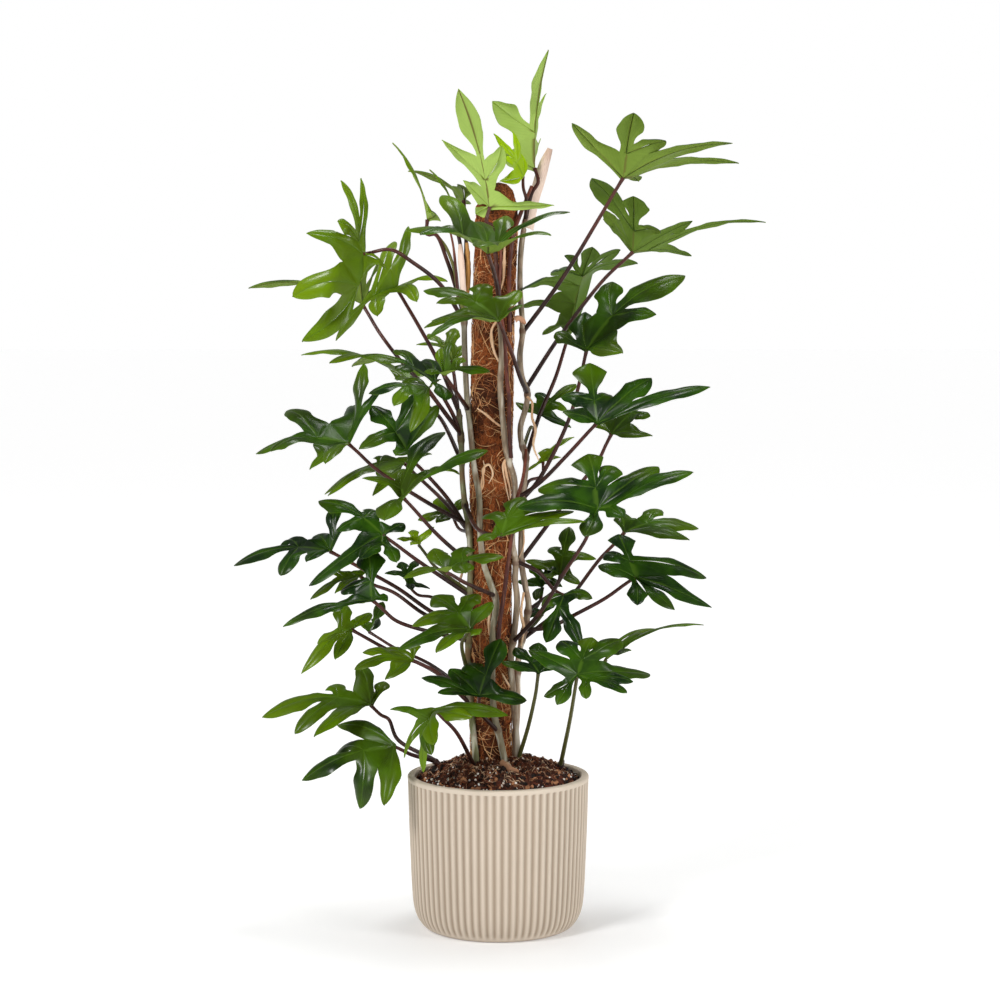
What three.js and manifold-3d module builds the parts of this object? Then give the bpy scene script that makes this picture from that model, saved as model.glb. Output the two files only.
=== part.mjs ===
// A potted climbing philodendron with bird-foot leaves on a coir pole.
// Millimetres, +Z up, origin at the middle of the flat underside of the pot.

import * as THREE from 'three';
import { mergeVertices } from 'three/addons/utils/BufferGeometryUtils.js';
import Module from 'manifold-3d';

const wasm = await Module();
wasm.setup();

// Driving dimensions
const FIT_GAP = 0.3;
const POT = {
  rimRadius: 135,
  height: 228,
  baseRadius: 108,
  lipHeight: 9,
  lipRound: 3,
  wall: 11,
  floor: 12,
  ribCount: 72,
  ribDepth: 1.6,
};
const SOIL = {
  edgeHeight: 219,
  moundHeight: 34,
  crumb: 2.2,
  sides: 32,
  rings: [0.82, 0.56, 0.28],
  stalkReach: 270,
};
const POLE = {
  x: -11,
  radius: 30,
  bark: 0.8,
  top: 1104,
  bottom: 20,
  domeHeight: 46,
  lean: 12,
  sides: 14,
  rows: 8,
  domeRows: 4,
};
const STEM = { radius: 5, endRadius: 4, sides: 6, step: 45, rootDepth: 70, apart: 8 };
const STALK = { radius: 2.5, footRadius: 3.4, sides: 4, steps: 2, neck: 20, drop: 10, fromAbove: 0.35 };
const SMALL_BLADE = 60;
// How lobes are kept apart: least angles in radians, longest way moved as a share of the blade's size
const SPREAD = {
  joints: 1.5,
  apart: 0.42,
  behind: 0.7,
  reach: 0.5,
  step: 3,
  rounds: 60,
  leastChange: 0.0005,
};
const SHEATH = { thickness: 0.8, wrap: 2, bends: 2 };
const BLADE = { thickness: 1, endRoot: 0.3, baseRib: 0.13, sinus: 0.2, arch: 0.1, cup: 0.16, share: 0.45 };

// The point from which the places below were read: a place at some depth lies on its line of sight
const EYE = { x: 3, distance: 3550, z: 910 };

const COLOUR = {
  leaf: 0x2f6b22,
  youngLeaf: 0x86b04a,
  stem: 0x8d8a72,
  coir: 0x8a4b28,
  soil: 0x4a2a1c,
  pot: 0xcfc2ad,
  sheath: 0xe6cdbf,
};

// Lobes by their number of steps from the end lobe: half width as a share of the blade's size
const LOBE_WIDTH = [0.14, 0.115, 0.105, 0.09, 0.075, 0.062];
const FULL_LOBES = 1;

function finish(material) {
  return new THREE.MeshStandardMaterial(material);
}

const MATERIAL = {
  leaf: finish({ color: COLOUR.leaf, roughness: 0.38, metalness: 0 }),
  young: finish({ color: COLOUR.youngLeaf, roughness: 0.45, metalness: 0 }),
  stem: finish({ color: COLOUR.stem, roughness: 0.7, metalness: 0 }),
  coir: finish({ color: COLOUR.coir, roughness: 0.95, metalness: 0 }),
  soil: finish({ color: COLOUR.soil, roughness: 0.95, metalness: 0 }),
  pot: finish({ color: COLOUR.pot, roughness: 0.7, metalness: 0 }),
  sheath: finish({ color: COLOUR.sheath, roughness: 0.8, metalness: 0 }),
};

function vector(x, y, z) {
  return new THREE.Vector3(x, y, z);
}

function seen(x, z, depth) {
  const scale = 1 + depth / EYE.distance;
  return vector(EYE.x + (x - EYE.x) * scale, depth, EYE.z + (z - EYE.z) * scale);
}

function toSolid(geometry) {
  const plain = geometry.clone();
  plain.deleteAttribute('normal');
  plain.deleteAttribute('uv');
  const merged = mergeVertices(plain, 1e-4);
  const vertProperties = Float32Array.from(merged.attributes.position.array);
  const triVerts = Uint32Array.from(merged.index.array);
  return new wasm.Manifold(new wasm.Mesh({ numProp: 3, vertProperties, triVerts }));
}

function toGeometry(solid) {
  const mesh = solid.getMesh();
  const geometry = new THREE.BufferGeometry();
  geometry.setAttribute('position', new THREE.BufferAttribute(mesh.vertProperties, 3));
  geometry.setIndex(new THREE.BufferAttribute(mesh.triVerts, 1));
  geometry.computeVertexNormals();
  return geometry;
}

function largestPiece(solid) {
  const pieces = solid.decompose();
  return pieces.reduce((best, piece) => (piece.volume() > best.volume() ? piece : best));
}

// A closed bar along the points. The section is drawn in millimetres and scaled by sizeAt(share of length).
function sweep(points, section, steps, sizeAt) {
  const curve = new THREE.CatmullRomCurve3(points, false, 'centripetal');
  const geometry = new THREE.ExtrudeGeometry(new THREE.Shape(section), {
    steps,
    bevelEnabled: false,
    extrudePath: curve,
  });
  const place = geometry.attributes.position;
  const spine = curve.getSpacedPoints(steps);
  const point = vector(0, 0, 0);
  for (let i = 0; i < place.count; i += 1) {
    point.fromBufferAttribute(place, i);
    let nearest = 0;
    for (let k = 1; k < spine.length; k += 1) {
      if (spine[k].distanceToSquared(point) < spine[nearest].distanceToSquared(point)) nearest = k;
    }
    point.sub(spine[nearest]).multiplyScalar(sizeAt(nearest / steps)).add(spine[nearest]);
    place.setXYZ(i, point.x, point.y, point.z);
  }
  return geometry;
}

function tube(points, startRadius, endRadius, sides, steps) {
  const section = [];
  for (let i = 0; i < sides; i += 1) {
    const turn = (2 * Math.PI * i) / sides;
    section.push(new THREE.Vector2(Math.cos(turn), Math.sin(turn)));
  }
  return sweep(points, section, steps, (share) => startRadius + (endRadius - startRadius) * share);
}

// Climbing stems: the places they pass, read as x and z. Near the pole each one lies against its bark.
const STEMS = {
  stem_left: {
    side: -1,
    path: [[12, 228], [4, 275], [-6, 320], [-9, 400], [-7, 450], [-3, 485], [-12, 515], [-22, 545], [-27, 590],
      [-28, 640], [-36, 690], [-41, 740], [-46, 790], [-49, 850], [-50, 905], [-50, 955]],
  },
  stem_front: {
    side: -1,
    path: [[30, 232], [24, 330], [19, 400], [25, 450], [28, 490], [25, 520], [26, 546], [21, 575], [24, 625],
      [24, 667], [17, 692], [11, 715], [8, 746], [5, 775], [3, 808], [5, 850], [3, 900], [0, 950], [-4, 1000]],
  },
  stem_right: {
    side: 1,
    path: [[22, 236], [28, 320], [30, 400], [40, 450], [45, 482], [40, 510], [34, 550], [35, 600], [37, 650],
      [41, 700], [34, 724], [33, 746], [41, 775], [43, 795], [35, 820], [32, 850], [36, 887], [32, 950],
      [34, 1010], [40, 1050]],
  },
  stem_back: {
    side: -1,
    path: [[-32, 232], [-38, 300], [-43, 350], [-45, 400], [-43, 450], [-42, 500], [-41, 545], [-43, 590],
      [-49, 630], [-53, 670], [-54, 710], [-56, 745], [-58, 772]],
  },
  stem_low_left: { side: 0, path: [[-78, 222], [-88, 240], [-96, 249]] },
  stem_low_right: { side: 0, path: [[84, 222], [92, 238], [96, 250]] },
};

// Leaves: name, stem and the height its stalk leaves it, places on the stalk, place of the blade's joint
// (x, depth, z), lobe tips in order round the blade (x, depth from the joint, z), number of the end lobe,
// size, and whether it is young
const LEAVES = [
  ['leaf_a1', 'stem_left', 900, [[-85, 955], [-125, 987], [-158, 1006]], [-198, -60, 999],
    [[-166, 25, 976], [-202, 15, 1109], [-230, 0, 1107], [-236, -10, 1046], [-281, -30, 1030],
      [-302, -50, 936], [-289, -45, 872]], 6, 150, 0],
  ['leaf_a2', 'stem_back', 735, [[-104, 800], [-145, 845], [-175, 885]], [-200, 60, 927],
    [[-158, 40, 962], [-170, 20, 990], [-208, -25, 992], [-242, -60, 947], [-367, -20, 950],
      [-290, 60, 935], [-215, 90, 940]], 4, 150, 0],
  ['leaf_a3', 'stem_back', 765, [[-90, 845], [-115, 891]], [-150, 10, 951],
    [[-75, -20, 958], [-132, 50, 1040], [-152, 30, 1016], [-239, -40, 873],
      [-177, -60, 908], [-120, -70, 930]], 3, 130, 0],
  ['leaf_a4', 'stem_left', 905, [[-62, 950], [-75, 990], [-92, 1028]], [-103, 0, 1050],
    [[-93, -32, 1056], [-154, 0, 1162], [-96, 32, 1060]], 1, 130, 0],
  ['leaf_a5', 'stem_left', 950, [[-52, 985], [-58, 1025]], [-63, 20, 1058],
    [[-58, -26, 1064], [-100, 0, 1123], [-60, 26, 1066]], 1, 90, 0],
  ['leaf_a6', 'stem_left', 935, [[-47, 1025]], [-50, 40, 1078],
    [[-62, 45, 1068], [-132, 0, 1121], [-60, -40, 1100]], 1, 100, 0],
  ['leaf_e4', 'stem_front', 925, [[-3, 960]], [-15, -140, 1001],
    [[12, 60, 1053], [105, 20, 1061], [77, -50, 1025], [-30, -85, 1010], [-114, -60, 1026],
      [-136, 10, 1034], [-82, 70, 1083], [-36, 80, 1046]], 5, 140, 0],
  ['leaf_n1', 'stem_front', 1000, [[-8, 1040]], [-12, -45, 1068],
    [[82, -30, 1071], [4, -30, 1157], [-58, -40, 1240], [-83, -30, 1164], [-51, -10, 1107],
      [-33, 10, 1057]], 2, 160, 1],
  ['leaf_n2', 'stem_right', 1050, [[49, 1088]], [53, 10, 1124],
    [[4, -20, 1152], [-8, -10, 1221], [73, 0, 1296], [72, 90, 1232], [62, 90, 1168]], 2, 165, 1],
  ['leaf_n3', 'stem_right', 1050, [[41, 1080]], [37, -25, 1112],
    [[2, -20, 1106], [6, -30, 1140], [-6, -20, 1175], [20, 5, 1178], [30, 15, 1150]], 2, 75, 1],
  ['leaf_f1', 'stem_right', 793, [[35, 812], [18, 860]], [0, -110, 903],
    [[36, -30, 922], [31, 35, 947], [-22, 50, 954], [-110, 40, 946], [-90, 0, 926], [-98, -30, 902],
      [-108, -50, 890], [-104, -75, 875]], 3, 130, 0],
  ['leaf_b4', 'stem_left', 775, [], [-79, -95, 822],
    [[-12, -40, 827], [-53, 20, 847], [-70, 45, 871], [-84, 35, 861], [-108, 0, 826]], 0, 80, 0],
  ['leaf_b2', 'stem_back', 733, [[-65, 760]], [-93, -40, 811],
    [[-78, -30, 785], [-104, 50, 846], [-150, 40, 857], [-205, 0, 851], [-150, -30, 828]], 3, 120, 0],
  ['leaf_b6', 'stem_back', 727, [[-64, 815]], [-68, 60, 842],
    [[-52, 30, 866], [-64, 50, 890], [-102, 40, 883], [-120, 0, 866], [-80, -20, 868]], 2, 80, 0],
  ['leaf_b3', 'stem_back', 735, [[-80, 768]], [-104, -70, 803],
    [[-88, -20, 812], [-140, 20, 812], [-191, -10, 795], [-153, -40, 776], [-130, -45, 738]], 2, 110, 0],
  ['leaf_b1', 'stem_back', 695, [[-85, 758], [-111, 784]], [-128, 90, 812],
    [[-110, 60, 828], [-215, 60, 833], [-290, 20, 852], [-248, -30, 838], [-150, -40, 815]], 2, 140, 0],
  ['leaf_b5', 'stem_back', 600, [[-115, 640], [-180, 683]], [-222, 20, 722],
    [[-175, 60, 803], [-197, 40, 838], [-216, 50, 776], [-310, 60, 768], [-358, 10, 706],
      [-335, -50, 708], [-279, -75, 683], [-255, -90, 690]], 4, 150, 0],
  ['leaf_b7', 'stem_back', 590, [[-75, 640], [-115, 685]], [-136, 22, 712],
    [[-89, -10, 778], [-114, 30, 797], [-187, 20, 777], [-205, -30, 712], [-152, -50, 704]], 2, 110, 0],
  ['leaf_c7', 'stem_back', 590, [[-75, 630]], [-138, 60, 692],
    [[-100, 40, 706], [-170, 40, 700], [-257, 20, 646], [-251, -30, 643], [-186, -50, 644]], 2, 110, 0],
  ['leaf_c2b', 'stem_back', 545, [[-90, 586]], [-140, -60, 641],
    [[-15, -30, 711], [-60, 30, 676], [-78, 50, 736], [-96, 50, 682], [-140, 50, 684], [-200, 10, 668],
      [-168, -40, 606]], 0, 150, 0],
  ['leaf_c10', 'stem_back', 590, [], [-68, 22, 616],
    [[-50, 20, 640], [-88, 20, 640], [-119, -10, 608], [-92, -30, 603]], 2, 70, 0],
  ['leaf_c11', 'stem_back', 455, [[-96, 492]], [-135, 25, 513],
    [[-101, -15, 506], [-116, 30, 548], [-144, 35, 546], [-168, 5, 528], [-129, -35, 504]], 2, 60, 0],
  ['leaf_c1', 'stem_back', 440, [[-105, 475], [-150, 507], [-210, 540]], [-250, 0, 562],
    [[-221, 20, 607], [-243, 35, 624], [-271, 45, 585], [-315, 40, 572], [-392, 0, 540],
      [-321, -45, 524], [-285, -60, 546]], 4, 150, 0],
  ['leaf_c2', 'stem_back', 495, [[-120, 548]], [-171, -30, 586],
    [[-139, 10, 603], [-178, 50, 618], [-266, 30, 636], [-238, 0, 590], [-281, -50, 510],
      [-205, -60, 548], [-151, -40, 545]], 2, 140, 0],
  ['leaf_c3', 'stem_back', 430, [[-150, 457]], [-187, -60, 489],
    [[-164, 0, 494], [-192, 45, 564], [-232, 25, 502], [-255, 0, 476], [-319, -20, 448]], 1, 100, 0],
  ['leaf_c4', 'stem_back', 440, [[-110, 468], [-155, 500]], [-204, 50, 524],
    [[-190, 40, 540], [-262, 20, 530], [-279, -10, 490], [-242, -35, 498]], 2, 90, 0],
  ['leaf_c5', 'stem_back', 345, [[-100, 385], [-165, 415]], [-218, -20, 445],
    [[-190, 30, 470], [-232, 30, 482], [-269, -10, 424], [-292, -40, 378], [-243, -50, 400]], 2, 100, 0],
  ['leaf_c6', 'stem_back', 350, [[-100, 392], [-155, 418]], [-192, 50, 441],
    [[-178, 20, 462], [-170, 10, 486], [-203, 10, 462]], 1, 60, 0],
  ['leaf_c8', 'stem_back', 500, [[-95, 540]], [-118, -10, 572],
    [[-95, 10, 598], [-128, 30, 592], [-150, 0, 580], [-130, -30, 570]], 2, 60, 1],
  ['leaf_c9', 'stem_left', 500, [[-50, 515]], [-77, -110, 531],
    [[8, -20, 553], [-48, 30, 566], [-95, 40, 566], [-141, 0, 521], [-48, -40, 528]], 0, 110, 0],
  ['leaf_m1', 'stem_back', 630, [[-30, 594]], [5, -110, 586],
    [[128, -10, 604], [112, 30, 621], [66, 40, 628], [38, 60, 642], [-18, 50, 612], [-32, -20, 576]], 3, 130, 0],
  ['leaf_m2', 'stem_back', 380, [[-54, 424]], [-42, -80, 446],
    [[-28, -30, 438], [-9, 0, 486], [-30, 40, 496], [-97, 45, 495], [-127, 10, 449], [-150, -30, 414],
      [-92, -55, 409]], 3, 120, 0],
  ['leaf_m3', 'stem_left', 300, [[-30, 325]], [-28, -58, 346],
    [[42, -20, 337], [4, 20, 431], [-45, 40, 392], [-72, 30, 386], [-114, -10, 371], [-90, -40, 350]], 1, 110, 0],
  ['leaf_d4', 'stem_back', 335, [[-95, 383]], [-128, -50, 399],
    [[-126, 20, 424], [-178, 20, 414], [-201, 0, 409], [-214, -20, 385], [-168, -40, 369]], 3, 100, 0],
  ['leaf_d3', 'stem_back', 240, [[-62, 290]], [-94, -76, 324],
    [[-161, 0, 325], [-139, -45, 252], [-112, -60, 230], [-99, -50, 256], [-95, -35, 272],
      [-38, -20, 312], [15, -15, 316]], 6, 120, 0],
  ['leaf_d1', 'stem_low_left', 249, [[-150, 280], [-163, 310]], [-190, 30, 332],
    [[-170, 40, 365], [-208, 40, 394], [-248, 30, 359], [-352, 0, 313], [-302, -30, 287],
      [-275, -45, 284]], 3, 150, 0],
  ['leaf_d2', 'stem_low_left', 247, [[-130, 257]], [-156, -25, 270],
    [[-240, 50, 301], [-242, 20, 253], [-293, -10, 218], [-205, -45, 175], [-171, -55, 180]], 2, 150, 0],
  ['leaf_g1', 'stem_right', 887, [[95, 965], [150, 1055]], [183, -20, 1111],
    [[108, -25, 1188], [198, -45, 1205], [245, -15, 1162], [343, -10, 1161], [352, 20, 1130],
      [206, 50, 1106]], 1, 160, 0],
  ['leaf_g2', 'stem_right', 800, [[88, 875], [155, 962]], [198, 20, 1003],
    [[153, 30, 1049], [154, 0, 1064], [137, -25, 1108], [198, -45, 1084], [237, -30, 1031],
      [285, 10, 1048], [392, 20, 1044], [284, 50, 997]], 3, 160, 0],
  ['leaf_h1', 'stem_right', 700, [[60, 760], [85, 820]], [104, 60, 882],
    [[66, 30, 880], [32, -40, 922], [33, -50, 943], [88, -30, 975], [98, -10, 996],
      [138, 0, 1010], [180, 20, 1004], [205, 40, 986]], 5, 150, 0],
  ['leaf_h2', 'stem_right', 636, [[59, 666], [104, 756], [124, 830]], [130, -30, 860],
    [[184, -50, 855], [232, 10, 909], [275, 30, 968], [168, 40, 957], [128, 50, 915], [85, 10, 883]], 2, 160, 0],
  ['leaf_h3', 'stem_front', 637, [[60, 662], [100, 702]], [146, -70, 752],
    [[95, -30, 768], [93, 10, 788], [135, 40, 840], [163, 40, 791], [226, 30, 818], [312, 0, 803]], 2, 140, 0],
  ['leaf_h4', 'stem_right', 545, [[101, 637], [118, 657], [150, 700]], [167, 20, 736],
    [[150, 30, 758], [190, 40, 772], [272, 30, 797], [224, 0, 760], [228, -30, 733]], 2, 110, 0],
  ['leaf_i1', 'stem_front', 428, [[62, 470], [95, 525], [130, 580]], [147, -100, 625],
    [[28, -10, 627], [60, 30, 652], [133, 40, 706], [169, 35, 686], [237, 20, 687], [288, 0, 677],
      [187, -45, 612], [128, -50, 582]], 2, 150, 0],
  ['leaf_i2', 'stem_right', 428, [[95, 478], [150, 549]], [187, 40, 590],
    [[187, 30, 618], [241, 30, 621], [297, 0, 595], [283, -30, 577]], 2, 120, 0],
  ['leaf_j1', 'stem_right', 440, [[75, 448], [120, 470], [160, 492]], [203, -10, 523],
    [[148, 0, 540], [160, 25, 557], [178, 40, 587], [308, 10, 520], [317, -10, 478], [261, -40, 473],
      [206, -50, 480]], 2, 130, 0],
  ['leaf_k1', 'stem_front', 545, [[60, 530]], [97, -5, 496],
    [[65, 0, 479], [140, 0, 491], [122, -30, 420], [71, -30, 425]], 3, 80, 0],
  ['leaf_k2', 'stem_right', 470, [[60, 485]], [92, 60, 528],
    [[40, 20, 548], [78, 40, 566], [105, 30, 598], [145, 0, 549], [122, -30, 512], [62, -30, 520]], 2, 75, 0],
  ['leaf_k3', 'stem_right', 455, [], [66, 50, 508],
    [[30, 10, 518], [48, 30, 540], [80, 30, 545], [95, -10, 508], [56, -30, 488]], 2, 60, 0],
  ['leaf_k4', 'stem_right', 440, [], [66, 20, 468],
    [[41, -15, 461], [40, 20, 477], [84, 20, 482]], 1, 55, 0],
  ['leaf_l0', 'stem_front', 250, [[45, 300], [56, 350]], [60, -50, 380],
    [[5, -20, 395], [25, 20, 418], [60, 40, 424], [86, 30, 400]], 1, 80, 0],
  ['leaf_l1', 'stem_low_right', 240, [[107, 310]], [118, -100, 378],
    [[69, -20, 343], [87, -40, 332], [45, 0, 414], [93, 40, 426], [140, 40, 433], [182, 30, 428],
      [226, 20, 378], [200, 0, 365], [192, -30, 350], [131, -60, 340]], 4, 130, 0],
  ['leaf_l2', 'stem_right', 380, [[110, 392]], [160, 60, 400],
    [[235, 30, 444], [305, 0, 452], [198, -20, 412]], 1, 120, 0],
  ['leaf_r1', 'stem_right', 715, [[48, 745]], [60, 50, 764],
    [[26, 10, 782], [56, 20, 795], [115, 30, 809], [101, 0, 770], [108, -30, 745]], 2, 70, 0],
  ['leaf_r2', 'stem_right', 640, [[45, 665]], [66, 60, 694],
    [[38, 10, 677], [60, 30, 706], [112, 20, 731], [93, -10, 700]], 2, 60, 1],
];

// Aerial roots: stem they grow from, radius, and places as x and z on the front of the pole
const ROOTS = [
  ['stem_front', 2.4, [[2, 905], [-9, 890], [-9, 870], [-4, 852], [4, 838]]],
  ['stem_front', 1.8, [[8, 744], [-4, 752], [-18, 764], [-31, 773]]],
  ['stem_left', 1.8, [[-29, 646], [-22, 660], [-22, 684], [-14, 690], [-8, 676], [-14, 662]]],
  ['stem_front', 2, [[20, 690], [15, 695], [10, 695], [12, 676], [17, 655], [18, 640]]],
  ['stem_front', 1.6, [[22, 352], [13, 366], [6, 379]]],
  ['stem_left', 2, [[-4, 486], [-12, 470], [-14, 452], [-13, 436]]],
  ['stem_left', 4, [[-50, 926], [-45, 950], [-44, 985], [-46, 1016]]],
  ['stem_front', 2.4, [[1, 944], [7, 962], [9, 990], [9, 1024]]],
];

const HANGING_ROOTS = [
  ['stem_right', 2, [[43, -6, 790], [50, -12, 782], [50, -12, 760], [55, -10, 742], [52, -8, 718], [60, -6, 696]]],
  ['stem_right', 1.4, [[35, 0, 602], [38, 2, 585], [37, 4, 568], [31, 2, 552]]],
];

// Dry sheaths: name, stem, half width, and places on the middle line (x, depth, z)
const SHEATHS = [
  ['sheath_top', 'stem_right', 7, [[40, 10, 1036], [52, 24, 1078], [61, 28, 1105], [71, 28, 1132], [79, 26, 1155]]],
  ['sheath_side', 'stem_left', 6, [[-52, -12, 920], [-56, -17, 945], [-60, -18, 982], [-63, -16, 1014]]],
];

function poleAxis(z) {
  return POLE.x + POLE.lean * (z / POLE.top) ** 6;
}

// Depth of something of the given radius that lies against the pole at x and z
function againstPole(x, z, radius, side) {
  const reach = POLE.radius + POLE.bark + FIT_GAP + radius;
  const across = x - poleAxis(z);
  return side * Math.sqrt(Math.max(reach * reach - across * across, STEM.apart * STEM.apart));
}

function soilHeight(x, y) {
  const out = Math.hypot(x, y) / (POT.rimRadius - POT.wall);
  const crumbs = Math.sin(x * 0.13 + 1) * Math.cos(y * 0.11) + Math.sin(x * 0.05 - y * 0.07);
  return SOIL.edgeHeight + SOIL.moundHeight * (1 - out * out) + (SOIL.crumb * crumbs * (1 - out ** 6)) / 2;
}

function stemPoints(name) {
  const { side, path } = STEMS[name];
  const above = path.map(([x, z]) => {
    const depth = side === 0 ? 0 : againstPole(x, z, STEM.radius, side);
    return seen(x, z, depth);
  });
  const foot = above[0].clone();
  foot.z = SOIL.edgeHeight - STEM.rootDepth;
  return [foot, ...above];
}

function stemCurve(name) {
  return new THREE.CatmullRomCurve3(stemPoints(name), false, 'centripetal');
}

function stemPlace(name, height) {
  const spots = stemCurve(name).getSpacedPoints(120);
  return spots.reduce((best, spot) => (Math.abs(spot.z - height) < Math.abs(best.z - height) ? spot : best));
}

// Angle of a lobe from the end lobe, anticlockwise seen from above the blade
function lobeTurn(toEnd, toTip, up) {
  const level = toTip.clone().projectOnPlane(up);
  return Math.atan2(toEnd.clone().cross(level).dot(up), toEnd.dot(level));
}

// Lobes that lie too near one another are moved along their lines of sight until they lie side by side
function spreadLobes(middle, tips, end, up, reach) {
  const start = tips.map((tip) => tip[1]);
  const toEnd = seen(tips[end][0], tips[end][2], tips[end][1]).sub(middle).projectOnPlane(up);
  const turnOf = ([x, depth, z], i) => {
    const turn = lobeTurn(toEnd, seen(x, z, depth).sub(middle), up);
    if (i < end && turn > Math.PI / 2) return turn - 2 * Math.PI;
    return i > end && turn < -Math.PI / 2 ? turn + 2 * Math.PI : turn;
  };
  const push = (i, amount) => {
    if (i === end) return;
    const tip = tips[i];
    const change = turnOf([tip[0], tip[1] + 1, tip[2]], i) - turnOf(tip, i);
    if (Math.abs(change) < SPREAD.leastChange) return;
    const step = Math.max(-SPREAD.step, Math.min(SPREAD.step, (0.3 * amount) / change));
    tip[1] = Math.max(start[i] - reach, Math.min(start[i] + reach, tip[1] + step));
  };
  for (let round = 0; round < SPREAD.rounds; round += 1) {
    const turns = tips.map(turnOf);
    for (let i = 0; i + 1 < tips.length; i += 1) {
      const missing = SPREAD.apart - (turns[i + 1] - turns[i]);
      if (missing > 0) {
        push(i, -missing);
        push(i + 1, missing);
      }
    }
    const behind = turns[0] + 2 * Math.PI - turns[turns.length - 1];
    if (behind < SPREAD.behind) {
      push(0, SPREAD.behind - behind);
      push(tips.length - 1, behind - SPREAD.behind);
    }
  }
}

function upOf(middle, tips) {
  const up = vector(0, 0, 0);
  for (let i = 0; i + 1 < tips.length; i += 1) {
    const one = seen(tips[i][0], tips[i][2], tips[i][1]).sub(middle).normalize();
    const next = seen(tips[i + 1][0], tips[i + 1][2], tips[i + 1][1]).sub(middle).normalize();
    up.add(one.cross(next));
  }
  return up.normalize();
}

// The joint, the lobe tips anticlockwise seen from above the blade, and the way its upper face looks
function leafPlaces(row) {
  const [, , , , joint, readings, end, size] = row;
  const depth = joint[1] * SPREAD.joints;
  const middle = seen(joint[0], joint[2], depth);
  const placeOf = (tip) => seen(tip[0], tip[2], tip[1]);
  let tips = readings.map(([x, out, z]) => [x, depth + out, z]);
  const endTip = tips[end];
  if (upOf(middle, tips).z < 0) tips.reverse();
  const up = upOf(middle, tips);
  const toEnd = placeOf(endTip).sub(middle).projectOnPlane(up);
  const turnOf = (tip) => (tip === endTip ? 0 : lobeTurn(toEnd, placeOf(tip).sub(middle), up));
  tips = tips.sort((one, other) => turnOf(one) - turnOf(other));
  const endLobe = tips.indexOf(endTip);
  spreadLobes(middle, tips, endLobe, up, SPREAD.reach * size);
  return { middle, points: tips.map(placeOf), endLobe, up: upOf(middle, tips) };
}

// Distance from a place to the line between two others, seen from above the blade
function planDistance(place, from, to, up) {
  const along = to.clone().sub(from).projectOnPlane(up);
  const toPlace = place.clone().sub(from).projectOnPlane(up);
  const share = Math.max(0, Math.min(1, toPlace.dot(along) / along.lengthSq()));
  return toPlace.sub(along.multiplyScalar(share)).length();
}

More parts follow.
